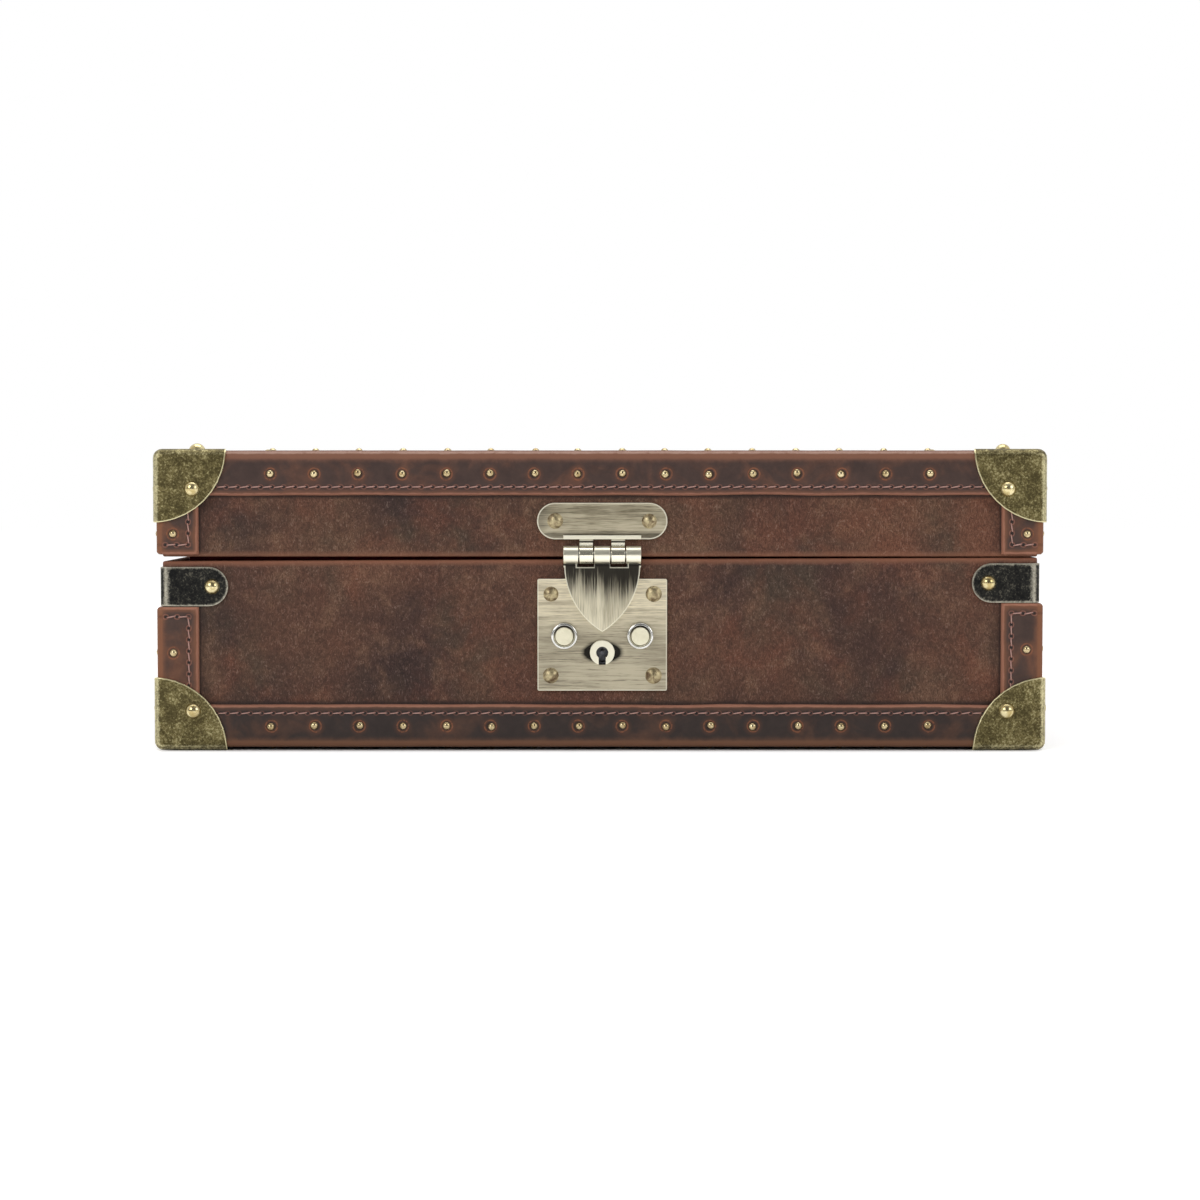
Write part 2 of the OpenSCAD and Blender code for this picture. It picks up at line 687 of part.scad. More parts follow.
module button_spring(side) color("lightsteelblue") {
  points = [for (i = [0 : spring_steps], j = [0 : 5]) spring_point(i, j)];
  sides = [for (i = [0 : spring_steps - 1], j = [0 : 5]) let(k = (j + 1) % 6)
    each [[6 * i + j, 6 * i + 6 + j, 6 * i + k], [6 * i + k, 6 * i + 6 + j, 6 * i + 6 + k]]];
  first = [for (j = [1 : 4]) [0, j, j + 1]];
  last = [for (j = [1 : 4]) [6 * spring_steps, 6 * spring_steps + j + 1, 6 * spring_steps + j]];
  translate([lock_x + side * button_x, 0, button_z]) polyhedron(points = points, faces = concat(sides, first, last));
}

// Catch that a button pushes outwards; side is -1 or 1
module catch(side) color("goldenrod") {
  translate([lock_x, 0, 0]) mirror([side < 0 ? 1 : 0, 0, 0]) {
    translate([catch_in, catch_front, button_z - 3.2]) cube([catch_arm_w, catch_t, catch_top - button_z + 3.2]);
    translate([nose_in, catch_front, nose_low - 1.5]) cube([catch_out - nose_in, catch_t, catch_top - nose_low + 1.5]);
    translate([nose_in, -panel_y - lock_t + 0.3, nose_low])
      cube([nose_l, catch_back + panel_y + lock_t - 0.3, nose_top - nose_low]);
  }
}

// Ring that the key's bit turns, with its cam
module key_follower() color("goldenrod") {
  translate([lock_x, 0, key_z]) rotate([-90, 0, 0]) difference() {
    union() {
      translate([0, 0, follower_front]) cylinder(d = follower_d, h = follower_back - follower_front);
      translate([-cam_r, -1.5, follower_front]) cube([cam_r, 3, cam_t]);
    }
    translate([0, 0, -panel_y]) cylinder(d = keyhole_d, h = panel_y);
    translate([-key_slot_w / 2, 0, -panel_y]) cube([key_slot_w, follower_d, panel_y]);
  }
}

// ---- Rear hinges ----

// Edge number k of the five knuckles of a hinge
function knuckle_edge(k) = -hinge_w / 2 + k * hinge_w / 5;

// One leaf with knuckles from edge k to edge k + 1 for each k given; up is -1 or 1
module hinge_leaf(up, knuckles) {
  difference() {
    union() {
      translate([-hinge_w / 2, panel_y, up > 0 ? axis_out : -hinge_leaf]) cube([hinge_w, plate_t, hinge_leaf - axis_out]);
      for (k = knuckles) {
        a = knuckle_edge(k) + (k == 0 ? 0 : knuckle_side / 2);
        b = knuckle_edge(k + 1) - (k == 4 ? 0 : knuckle_side / 2);
        translate([a, panel_y, up > 0 ? 0 : -axis_out - 1]) cube([b - a, plate_t, axis_out + 1]);
        translate([0, hinge_y, 0]) barrel(a, b);
      }
    }
    translate([0, hinge_y, 0]) barrel_bore(-hinge_w / 2, hinge_w / 2);
    for (x = [-1, 0, 1])
      translate([x * hinge_w * 0.34, panel_y, up * (hinge_leaf + axis_out) / 2]) rotate([-90, 0, 0])
        translate([0, 0, -1]) cylinder(d = shank_d + 2 * shank_play, h = plate_t + 2);
  }
}

// Round-headed slotted screws of one leaf
module hinge_leaf_screws(up) {
  for (x = [-1, 0, 1])
    translate([x * hinge_w * 0.34, panel_y + plate_t, up * (hinge_leaf + axis_out) / 2]) rotate([-90, 0, 0]) {
      difference() {
        dome(screw_d, screw_h + 0.4);
        rotate([0, 0, 35 * x + 20]) translate([-screw_d, -0.35, screw_h - 0.2]) cube([2 * screw_d, 0.7, 2]);
      }
      translate([0, 0, -plate_t]) cylinder(d = shank_d, h = plate_t + 0.1);
    }
}

module at_hinges() {
  for (side = [-1, 1]) translate([side * hinge_x, 0, hinge_z]) children();
}

module hinge_base_leaves() color("tan") {
  at_hinges() hinge_leaf(-1, [0, 2, 4]);
}

module hinge_lid_leaves() color("tan") {
  at_hinges() hinge_leaf(1, [1, 3]);
}

module hinge_pins() color("gray") {
  at_hinges() translate([-hinge_w / 2, hinge_y, 0]) rotate([0, 90, 0]) cylinder(d = pin_d, h = hinge_w);
}

module hinge_base_screws() color("khaki") {
  at_hinges() hinge_leaf_screws(-1);
}

module hinge_lid_screws() color("khaki") {
  at_hinges() hinge_leaf_screws(1);
}

// ---- Lid ----

module lid_carcass() color("burlywood") {
  difference() {
    translate([0, 0, lid_z + leather_t]) linear_extrude(height = lid_wood_top - lid_z - leather_t)
      rounded_rect(wood_w, wood_d, leather_r);
    translate([-inner_w / 2, -inner_d / 2, lid_z]) cube([inner_w, inner_d, lid_inside_top - lid_z]);
  }
}

module lid_leather() color("saddlebrown") {
  difference() {
    translate([0, 0, lid_z]) linear_extrude(height = lid_skin_top - lid_z) rounded_rect(box_w, box_d, leather_r);
    translate([0, 0, lid_z + leather_t]) linear_extrude(height = lid_wood_top - lid_z - leather_t)
      rounded_rect(wood_w, wood_d, leather_r);
    translate([-inner_w / 2, -inner_d / 2, lid_z - 1]) cube([inner_w, inner_d, leather_t + 2]);
  }
}

// Covered boards inside the lid's walls, above the lip
module lid_lining() color("maroon") {
  difference() {
    translate([-inner_w / 2, -inner_d / 2, lip_z + lip_gap]) cube([inner_w, inner_d, lid_inside_top - lip_z - lip_gap]);
    translate([-lid_room_w / 2, -lid_room_d / 2, lip_z]) cube([lid_room_w, lid_room_d, box_top]);
  }
}

// Padded panel under the lid's top
module lid_pad() color("indianred") {
  w = lid_room_w - 2 * cushion_gap;
  d = lid_room_d - 2 * cushion_gap;
  translate([0, 0, lid_inside_top - lid_pad_t]) linear_extrude(height = lid_pad_t) rounded_rect(w, d, cushion_r / 2);
}

module lid_binding(turn) color("sienna") {
  upside_down() edge_binding(turn, lid_binding_w);
}

// Upright strips of the lid, from just above its lower edge to the binding
module lid_corner_strips() color("sienna") {
  four_corners() corner_strip(lid_z + strip_lift, box_top - cap_t - lid_binding_w - strip_gap);
}

module lid_cap(mx, my) color("darkkhaki") {
  upside_down() mirror([mx, 0, 0]) mirror([0, my, 0]) corner_cap(false);
}

module lid_tacks() color("peru") {
  upside_down() for (turn = [0, 90, 180, 270]) edge_tacks(turn, lid_binding_w);
  four_corners() strip_tacks(box_top - cap_reach - lid_strip_tack);
}

// Rivets of the upper caps and of the hasp's bracket
module lid_rivets() color("khaki") {
  upside_down() four_corners() cap_rivets(false);
  for (x = [-1, 1])
    on_side(0, panel_y + plate_t) translate([lock_x + x * bracket_rivets / 2, bracket_mid, 0]) rivet(plate_t);
}

// ---- Hasp ----

// Riveted bracket with the ledge and the two arms that end in knuckles
module hasp_bracket() color("lightgray") {
  flat_w = bracket_w - bracket_h;
  difference() {
    union() {
      on_side(0, panel_y) translate([lock_x, bracket_mid, 0]) linear_extrude(height = plate_t) {
        square([flat_w, bracket_h], center = true);
        for (x = [-1, 1]) translate([x * flat_w / 2, 0]) circle(d = bracket_h);
      }
      translate([lock_x - hasp_w / 2, -panel_y - plate_t - ledge_out, bracket_z]) cube([hasp_w, plate_t + ledge_out, ledge_h]);
      for (x = [-1, 1]) translate([lock_x + x * arm_x - arm_w / 2, 0, 0]) {
        translate([0, -panel_y - plate_t, hasp_z]) cube([arm_w, plate_t, bracket_z - hasp_z + 1]);
        translate([0, hasp_y, hasp_z]) barrel(0, arm_w);
      }
    }
    translate([lock_x, hasp_y, hasp_z]) barrel_bore(-hasp_w / 2, hasp_w / 2);
    for (x = [-1, 1])
      on_side(0, panel_y + plate_t) translate([lock_x + x * bracket_rivets / 2, bracket_mid, 0]) shank_hole(plate_t);
  }
}

module hasp_pin() color("gray") {
  translate([lock_x - hasp_w / 2, hasp_y, hasp_z]) rotate([0, 90, 0]) cylinder(d = pin_d, h = hasp_w);
}

// Pointed arch of two arcs, upside down, with its tip at the end of the hasp
module shield_outline() {
  half = hasp_w / 2 * 0.98;
  long = hasp_l - axis_out;
  r = (long * long + half * half) / (2 * half);
  intersection() {
    translate([half - r, -axis_out]) circle(r = r, $fn = 180);
    translate([r - half, -axis_out]) circle(r = r, $fn = 180);
    translate([-hasp_w, -hasp_l - 1]) square([2 * hasp_w, hasp_l + 1 - hasp_shoulder]);
  }
}

// Shield with three knuckles between and beside the bracket's arms
module hasp_shield() color("silver") {
  inner = arm_x - arm_w / 2 - hasp_side;
  outer = arm_x + arm_w / 2 + hasp_side;
  translate([lock_x, 0, hasp_z]) difference() {
    union() {
      translate([0, hasp_back, 0]) rotate([90, 0, 0]) linear_extrude(height = hasp_t) shield_outline();
      for (span = [[-hasp_w / 2, -outer], [-inner, inner], [outer, hasp_w / 2]]) {
        translate([span[0], hasp_back - hasp_t, -hasp_shoulder - 0.1]) cube([span[1] - span[0], hasp_t, hasp_shoulder - 1.5]);
        translate([0, hasp_y, 0]) barrel(span[0], span[1]);
      }
    }
    translate([0, hasp_y, 0]) barrel_bore(-hasp_w / 2, hasp_w / 2);
  }
}

// T-shaped staple on the back of the shield
module hasp_staple() color("goldenrod") {
  translate([lock_x - staple_w / 2, hasp_back, staple_low]) cube([staple_w, staple_t, nose_low - catch_gap - staple_low]);
  translate([lock_x - staple_neck / 2, hasp_back, staple_low]) cube([staple_neck, staple_t, staple_top - staple_low]);
}

base_carcass();
base_leather();
liner_frame();
floor_board();
divider_long(1);  // divider_long_front
divider_long(2);  // divider_long_back
divider_cross(1);  // divider_cross_left
divider_cross(2);  // divider_cross_middle
divider_cross(3);  // divider_cross_right
cushion_row(0);  // cushions_front
cushion_row(1);  // cushions_middle
cushion_row(2);  // cushions_back
base_binding(0);  // base_binding_front
base_binding(180);  // base_binding_back
base_binding(270);  // base_binding_left
base_binding(90);  // base_binding_right
base_corner_strips();
base_cap(0, 0);  // base_cap_front_left
base_cap(1, 0);  // base_cap_front_right
base_cap(0, 1);  // base_cap_back_left
base_cap(1, 1);  // base_cap_back_right
brace(0, 0);  // brace_front_left
brace(1, 0);  // brace_front_right
brace(0, 1);  // brace_back_left
brace(1, 1);  // brace_back_right
base_tacks();
base_rivets();
lock_plate();
lock_case();
button(-1);  // button_left
button(1);  // button_right
button_spring(-1);  // button_spring_left
button_spring(1);  // button_spring_right
catch(-1);  // catch_left
catch(1);  // catch_right
key_follower();
hinge_base_leaves();
hinge_pins();
hinge_base_screws();
lid_carcass();
lid_leather();
lid_lining();
lid_pad();
lid_binding(0);  // lid_binding_front
lid_binding(180);  // lid_binding_back
lid_binding(270);  // lid_binding_left
lid_binding(90);  // lid_binding_right
lid_corner_strips();
lid_cap(0, 0);  // lid_cap_front_left
lid_cap(1, 0);  // lid_cap_front_right
lid_cap(0, 1);  // lid_cap_back_left
lid_cap(1, 1);  // lid_cap_back_right
lid_tacks();
lid_rivets();
hinge_lid_leaves();
hinge_lid_screws();
hasp_bracket();
hasp_pin();
hasp_shield();
hasp_staple();
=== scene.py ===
# %% [markdown]
# # A pocket watch display box, dressed in Blender
#
# The box was constructed in a CAD program, so every piece already has its place, its size and the
# joint that it moves on. Blender gives it its looks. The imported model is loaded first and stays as
# it is: a new piece is made in the same metres and rides on one of its bodies.

# %% Load the fixed frame
import math
import random

import bmesh
import bpy
from mathutils import Matrix, Vector, noise
from mathutils.bvhtree import BVHTree


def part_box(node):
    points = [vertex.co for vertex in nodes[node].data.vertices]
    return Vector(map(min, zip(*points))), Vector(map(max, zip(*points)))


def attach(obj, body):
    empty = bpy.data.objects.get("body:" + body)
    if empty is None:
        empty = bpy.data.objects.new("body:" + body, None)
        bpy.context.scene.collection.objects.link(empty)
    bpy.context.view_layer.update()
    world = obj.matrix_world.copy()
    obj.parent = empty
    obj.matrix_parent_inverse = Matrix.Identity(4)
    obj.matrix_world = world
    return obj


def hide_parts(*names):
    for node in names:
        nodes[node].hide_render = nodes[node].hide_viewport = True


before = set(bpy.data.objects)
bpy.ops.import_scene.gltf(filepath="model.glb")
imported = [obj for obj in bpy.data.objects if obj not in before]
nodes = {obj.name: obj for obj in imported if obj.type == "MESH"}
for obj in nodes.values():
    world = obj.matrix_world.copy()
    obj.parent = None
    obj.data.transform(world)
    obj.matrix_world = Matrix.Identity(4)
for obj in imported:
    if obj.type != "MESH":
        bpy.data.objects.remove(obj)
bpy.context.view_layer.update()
scene = bpy.context.scene
MM = 0.001

# %% [markdown]
# ## Camera
#
# The photograph was taken straight from the front, a metre away and a little below the top of the
# lid, so that the top is only a line and hides the rivets at the back. A camera that is pitched
# down by a hair needs no shift.


# %% Camera
def linked(name, data):
    """A new object in the scene."""
    made = bpy.data.objects.new(name, data)
    scene.collection.objects.link(made)
    return made


SEEN_WIDTH = 0.42857      # what the picture shows across, at the front corner caps
STAND_OFF, EYE_Z, AIM_Z = 1.0, 0.0985, 0.0541
lens = bpy.data.cameras.new("front_view")
lens.lens = lens.sensor_width * STAND_OFF / SEEN_WIDTH
camera = linked("front_view", lens)
camera.location = (0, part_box("base_cap_front_left")[0].y - STAND_OFF, EYE_Z)
camera.rotation_euler = (math.pi / 2 - math.atan2(EYE_Z - AIM_Z, STAND_OFF), 0, 0)
scene.camera = camera
scene.view_settings.view_transform = "Standard"
print("lens", round(lens.lens, 1), "mm")

# %% [markdown]
# ## Nodes in plain Python
#
# A finish is easier to read as a formula than as a web of nodes. A Wire wraps one output socket,
# and an expression on wires adds the Math nodes, while numbers alone are still worked out in
# Python. A Board wraps a node tree, of a shader or of a geometry, and any other node comes from its
# one method.


# %% Wires that can be added and multiplied
class Wire:
    """One output socket of a board, for use in expressions."""

    def __init__(self, board, socket):
        self.board, self.socket = board, socket

    def maths(self, operation, *values):
        return self.board.node("ShaderNodeMath", {"operation": operation}, dict(enumerate(values)))

    def __abs__(self): return self.maths("ABSOLUTE", self)
    def wrap(self, end, other_end): return self.maths("WRAP", self, end, other_end)


def between(operation, turned_round):
    """What Python does for a sign between a wire and a number or another wire."""
    return lambda wire, other: wire.maths(operation, *((other, wire) if turned_round else (wire, other)))


SIGNS = {"add": "ADD", "sub": "SUBTRACT", "mul": "MULTIPLY", "truediv": "DIVIDE", "pow": "POWER"}
for sign, operation in SIGNS.items():
    setattr(Wire, f"__{sign}__", between(operation, False))
    setattr(Wire, f"__r{sign}__", between(operation, True))


# %% Boards that nodes are placed on
class Board:
    """A node tree, of any kind."""

    def __init__(self, tree):
        self.tree = tree
        tree.nodes.clear()

    def node(self, kind, settings=None, inputs=None, out=0):
        """Adds a node: its settings first, then the values or wires of its inputs. out is the output
        that is wanted, by its number or name, or a tuple of several."""
        made = self.tree.nodes.new(kind)
        for key, value in (settings or {}).items():
            setattr(made, key, value)
        for key, value in (inputs or {}).items():
            if isinstance(value, Wire):
                self.tree.links.new(value.socket, made.inputs[key])
            else:
                made.inputs[key].default_value = value
        if isinstance(out, tuple):
            return [Wire(self, made.outputs[key]) for key in out]
        return Wire(self, made.outputs[out]) if made.outputs else made

    def split(self, vector): return self.node("ShaderNodeSeparateXYZ", inputs={0: vector}, out=(0, 1, 2))
    def vector(self, x=0.0, y=0.0, z=0.0): return self.node("ShaderNodeCombineXYZ", inputs={0: x, 1: y, 2: z})
    def least(self, a, b): return a.maths("MINIMUM", a, b)
    def most(self, a, b): return a.maths("MAXIMUM", a, b)

    def step(self, value, low, high, start=0.0, end=1.0):
        """start below low, end above high, smooth between; low may be above high."""
        return self.node("ShaderNodeMapRange", {"interpolation_type": "SMOOTHSTEP"}, {
            "Value": value, "From Min": low, "From Max": high, "To Min": start, "To Max": end})

    def mixed(self, share, a, b): return self.node("ShaderNodeMixShader", inputs={0: share, 1: a, 2: b})


print("nodes ready")

# %% [markdown]
# ## Light and floor
#
# A studio shot on white: a plain white surround and large soft lamps. The world and the floor show
# pure white only to the camera and in reflections, so that the metal mirrors a white studio, while
# the light that falls on the leather stays at a plain level.

# %% World: white to the eye, plain as light
WORLD_LIGHT = 0.55
ROOM_DARK = 0.12          # the unlit room behind the camera, as metal mirrors it
WHITE = (1, 1, 1, 1)
world = bpy.data.worlds.new("studio")
scene.world = world
world.use_nodes = True
sky = Board(world.node_tree)
seen, through, mirrored = sky.node(
    "ShaderNodeLightPath", out=("Is Camera Ray", "Is Transmission Ray", "Is Glossy Ray"))


def shine(strength):
    return sky.node("ShaderNodeBackground", inputs={"Color": WHITE, "Strength": strength})


heading = sky.split(sky.node("ShaderNodeTexCoord", out="Generated"))
lit = sky.mixed(mirrored, shine(WORLD_LIGHT), shine(sky.step(heading[1], -0.75, 0.1, ROOM_DARK)))
sky.node("ShaderNodeOutputWorld", inputs={"Surface": sky.mixed(sky.most(seen, through), lit, shine(1.0))})

# %% Floor
FLOOR_HALF = 4.0
FLOOR_GLOW = 0.56         # what the floor adds to its own light, to be white to the eye
FOOTPRINT = (0.151, 0.120)
floor_mesh = bpy.data.meshes.new("floor")
floor_mesh.from_pydata([(x * FLOOR_HALF, y * FLOOR_HALF, 0) for x, y in ((-1, -1), (1, -1), (1, 1), (-1, 1))],
                       [], [(0, 1, 2, 3)])
floor = linked("floor", floor_mesh)
floor_paint = bpy.data.materials.new("white_floor")
floor_paint.use_nodes = True
paint = Board(floor_paint.node_tree)
seen, mirrored = paint.node("ShaderNodeLightPath", out=("Is Camera Ray", "Is Glossy Ray"))
matt = paint.node("ShaderNodeBsdfDiffuse", inputs={"Color": (0.8, 0.8, 0.8, 1)})
right, behind = paint.split(paint.node("ShaderNodeTexCoord", out="Object"))[:2]
# The glow fades round the box's footprint: a painted shadow on the floor under and beside the box.
away = paint.most(abs(right) - FOOTPRINT[0], abs(behind) - FOOTPRINT[1])
glow = (paint.step(away, 0.001, 0.009, 0.0, FLOOR_GLOW * 0.8)
        + paint.step(away, 0.0, 0.1, 0.0, FLOOR_GLOW * 0.2))
glowing = paint.node("ShaderNodeEmission", inputs={"Color": WHITE, "Strength": glow})
nothing = paint.node("ShaderNodeEmission", inputs={"Color": (0, 0, 0, 1), "Strength": 0.0})
both = paint.node("ShaderNodeAddShader", inputs={
    0: matt, 1: paint.mixed(paint.most(seen, mirrored), nothing, glowing)})
paint.node("ShaderNodeOutputMaterial", inputs={"Surface": both})
floor_mesh.materials.append(floor_paint)

# %% Lamps
MIDDLE = Vector((0, 0, 0.06))


def softbox(name, at, width, height, watts):
    """A large rectangular lamp that faces the middle of the box."""
    lamp = bpy.data.lights.new(name, "AREA")
    lamp.shape, lamp.size, lamp.size_y, lamp.energy = "RECTANGLE", width, height, watts
    holder = linked(name, lamp)
    holder.location = at
    holder.rotation_euler = (MIDDLE - Vector(at)).to_track_quat("-Z", "Y").to_euler()


softbox("softbox_left", (-1.1, -1.5, 1.0), 0.9, 0.9, 13)
softbox("softbox_right", (1.3, -1.2, 0.8), 0.8, 0.8, 7)
softbox("softbox_top", (0, 0.2, 1.6), 1.4, 1.0, 12)
print("three softboxes and a plain white world")

# %% [markdown]
# ## Finishes
#
# A finish is a material whose pattern is a formula of the place on the box, in millimetres. Its
# colours were picked on a screen, so they are written as screen values from 0 to 255.


# %% What every finish is made with
def ink(colour):
    """A colour in screen values, as the linear colour that Blender wants."""
    return tuple(((c / 255 + 0.055) / 1.055) ** 2.4 if c > 10 else c / 3295 for c in colour) + (1,)


class Finish(Board):
    """A material under construction. Lengths in its formulas are millimetres."""

    def __init__(self, name):
        self.material = bpy.data.materials.new(name)
        self.material.use_nodes = True
        super().__init__(self.material.node_tree)
        self.at = self.moved(scale=(1000,) * 3, at=self.node("ShaderNodeTexCoord", out="Object"))
        self.x, self.y, self.z = self.split(self.at)

    def moved(self, location=(0, 0, 0), scale=(1, 1, 1), turn=(0, 0, 0), at=None):
        """A point, shifted, stretched or turned, for a pattern with a direction."""
        return self.node("ShaderNodeMapping", inputs={
            "Vector": at or self.at, "Location": location, "Rotation": turn, "Scale": scale})

    def cloud(self, size, detail=4.0, rough=0.55, warp=0.0, at=None):
        """Soft noise from 0 to 1 whose blobs are about size millimetres."""
        return self.node("ShaderNodeTexNoise", inputs={
            "Vector": at or self.at, "Scale": 1 / size, "Detail": detail, "Roughness": rough,
            "Distortion": warp})

    def noted(self, attribute, out="Fac"):
        """What a mesh has noted for each of its points."""
        return self.node("ShaderNodeAttribute", {"attribute_name": attribute}, out=out)

    def blend(self, share, a, b, way="MIX"):
        """Colour a where share is 0 and b where it is 1."""
        a, b = (ink(colour) if isinstance(colour, tuple) else colour for colour in (a, b))
        return self.node("ShaderNodeMix", {"data_type": "RGBA", "blend_type": way}, {0: share, 6: a, 7: b}, 2)

    def tint(self, colour, amount, shade):
        """Multiplies a colour by a shade, as far as amount says."""
        return self.blend(amount, colour, shade, "MULTIPLY")

    def mottle(self, colour, amount, pattern, low, high, shade):
        """Tints a colour where a pattern is low."""
        return self.tint(colour, amount, self.blend(self.step(pattern, low, high), shade, (255, 255, 255)))

    def bump(self, height, depth, strength=1.0, **below):
        """A relief of the given depth in millimetres where height goes from 0 to 1."""
        return self.node("ShaderNodeBump", inputs={
            "Height": height, "Distance": depth * MM, "Strength": strength, **below})

    def surface(self, **sockets):
        """The Principled shader and the output; a space in a socket's name is written as _."""
        shader = self.node("ShaderNodeBsdfPrincipled",
                           inputs={key.replace("_", " "): value for key, value in sockets.items()})
        self.node("ShaderNodeOutputMaterial", inputs={"Surface": shader})
        return self.material


# %% Sizes that finishes and pieces share, in millimetres
PANEL_X, PANEL_Y = 156.8, 120.0              # half the width and half the depth over the panels
RIM_HIGH, RIM_FALL = 69.2, 1.3               # the rim of the base, and how far it falls to the left
LID_LOW, BOX_TOP = 69.5, 108.1
BAND_T, CAP_T = 2.0, 1.2
LID_BAND_W, BASE_BAND_W, CORNER_W = 15.4, 15.2, 15.0
BASE_EDGE, LID_EDGE = CAP_T + BASE_BAND_W, BOX_TOP - CAP_T - LID_BAND_W      # the bindings' cut edges
LOCK_X, LOCK_Z, KEY_Z = 0.8, 41.55, 35.25
BUTTON_X, BUTTON_Z = 13.6, 41.15
BRACKET_Z, BRACKET_R, BRACKET_SIDE = 82.3, 6.55, 16.8

# %% [markdown]
# ## Leather of the panels
#
# Oiled pull-up leather: where it was bent or rubbed, the wax moves and the hide turns pale and
# reddish; elsewhere it is a cloudy dark brown. The clouds are noise at several sizes, turned askew so
# that none lies along an edge. The fine creases are noise squeezed in one direction, and the rubbed
# rim follows the distance from the rim.

# %% Panel leather
STRIP_REACH = CORNER_W - BAND_T - 0.1        # from the panel's corner to a corner strip's cut edge


def painted_strip_shade(f, near_binding):
    """Painted shade on the panel along the strips and the bindings: dark at their edge, fainter further off.
    """
    near, wall = [], []
    for far, face in ((abs(f.x), PANEL_X), (abs(f.y), PANEL_Y)):
        gap = abs(far - (face - STRIP_REACH))
        near.append(f.most(f.step(gap, 1.8, 0.3), f.step(gap, 6.0, 0.5) * 0.45))
        wall.append(f.step(far, face - 1.0, face - 0.4))
    return (wall[1] * f.most(near[0], near_binding) + wall[0] * f.most(near[1], near_binding)
            + (1 - f.most(*wall)) * f.most(*near))


def panel_leather(name, rim_distance, level, rubbed, beside_binding, ruddy=lambda f: 0.0):
    """Cloudy brown leather; rim_distance gives millimetres from the rim, level tints it all,
    rubbed says how bare the rim is, beside_binding is 1 where a wall meets its binding and shade is
    painted there, and ruddy is 1 where the leather is redder."""
    f = Finish(name)
    rim, red_side = rim_distance(f), ruddy(f)
    askew = f.moved(turn=(0.5, 0.35, 0.8))
    big = f.cloud(44, 3, 0.5, 0.3, askew)
    small = f.cloud(13, 5, 0.6, 0.3, f.moved((40, 10, 70), at=askew))
    mossy = f.cloud(30, 4, 0.6, 0.4, f.moved((60, 22, 8), at=askew))
    reds = f.cloud(24, 4, 0.6, 0.4, f.moved((5, 80, 33), at=askew)) + red_side * 0.12
    fine = f.cloud(1.7, 4, 0.7, at=f.moved((9, 3, 5)))
    wrinkle = f.cloud(1.2, 3, 0.75, 2.8, f.moved((2, 8, 1), (1.0, 1.0, 0.5)))
    colour = f.blend(f.step(big + red_side * 0.09, 0.32, 0.64), (64, 45, 40), (99, 68, 52))
    colour = f.blend(f.step(mossy, 0.46, 0.72) * 0.6, colour, (84, 70, 54))
    colour = f.blend(f.step(small, 0.46, 0.76) * 0.6, colour, (136, 103, 80))
    colour = f.blend(f.step(reds, 0.44, 0.74) * 0.46, colour, (132, 79, 57))
    colour = f.mottle(colour, 0.85, wrinkle, 0.36, 0.60, (166, 162, 162))
    colour = f.mottle(colour, 0.5, fine, 0.35, 0.65, (186, 186, 188))
    fleck = f.step(wrinkle + (fine - 0.5) * 0.4, 0.56, 0.72)
    colour = f.blend(fleck * 0.30, colour, (152, 134, 124))
    worn = f.step(rim + (small - 0.5) * 2.5, 2.6, 0.5)
    colour = f.blend(worn * rubbed * (0.55 + small * 0.75), colour, (134, 88, 66))
    colour = f.tint(colour, 1.0, level)
    # Painted shade along the corner strips and the bindings.
    colour = f.blend(painted_strip_shade(f, beside_binding(f)) * (1 - worn) * 0.75, colour, (34, 23, 20))
    creases = f.cloud(2.6, 4, 0.6, 1.2, f.moved(scale=(1.0, 1.0, 0.22)))
    zones = f.step(f.cloud(26, 2, 0.5, at=f.moved((17, 0, 90))), 0.42, 0.62)
    pores = f.node("ShaderNodeTexVoronoi", inputs={"Vector": f.at, "Scale": 1.5, "Randomness": 1.0})
    grain = f.bump(pores * 0.3 + fine * 0.4 + wrinkle * 0.3, 0.16, 0.55)
    return f.surface(Base_Color=colour, Roughness=0.50 + small * 0.22 - worn * 0.06, Specular_IOR_Level=0.25,
                     Normal=f.bump(creases * (0.4 + zones * 0.6), 0.5, 0.55, Normal=grain))


def lid_ruddy(f):
    """The lid's walls are redder to the right, and its top is redder all over."""
    to_the_right = f.step(f.x, -10, 70)
    return to_the_right + (0.6 - to_the_right) * f.step(f.z, 102, 104)


panel_finish = {
    "base": panel_leather(
        "panel_leather_base", lambda f: (RIM_HIGH - RIM_FALL / 2) + f.x * (RIM_FALL / (2 * PANEL_X)) - f.z,
        (250, 246, 246), 0.8, lambda f: f.step(f.z, BASE_EDGE + 2.0, BASE_EDGE + 0.3)),
    "lid": panel_leather(
        "panel_leather_lid", lambda f: f.z - LID_LOW, (255, 255, 252), 0.5,
        lambda f: f.step(f.z, LID_EDGE - 1.8, LID_EDGE - 0.2), lid_ruddy)}

# %% [markdown]
# ## Leather of the bindings and corner strips
#
# The strips are folded, edge-painted and sewn. Their meshes carry where each point lies: how far
# along the strip it is, how far from the nearest cut edge, and how far apart the tacks stand. So
# the pale fold with a painted highlight on its very edge, the reddish cut edge with its pale line,
# the dark middle, the needle holes along the seam, the orange ring that each tack has rubbed and a
# painted shadow round each tack all follow the strip round every corner.

# %% Strip leather
SEAM_IN, STRIP_SEAM_IN = 3.0, 3.5            # the seam of a binding and of a corner strip from the cut edge
STITCH_PITCH = 4.1
TACK_IN = 7.6                                # the tacks from the cut edge
STRIP_TACK_OUT = 6.0                         # a corner strip's tack from the outer face of the other leg


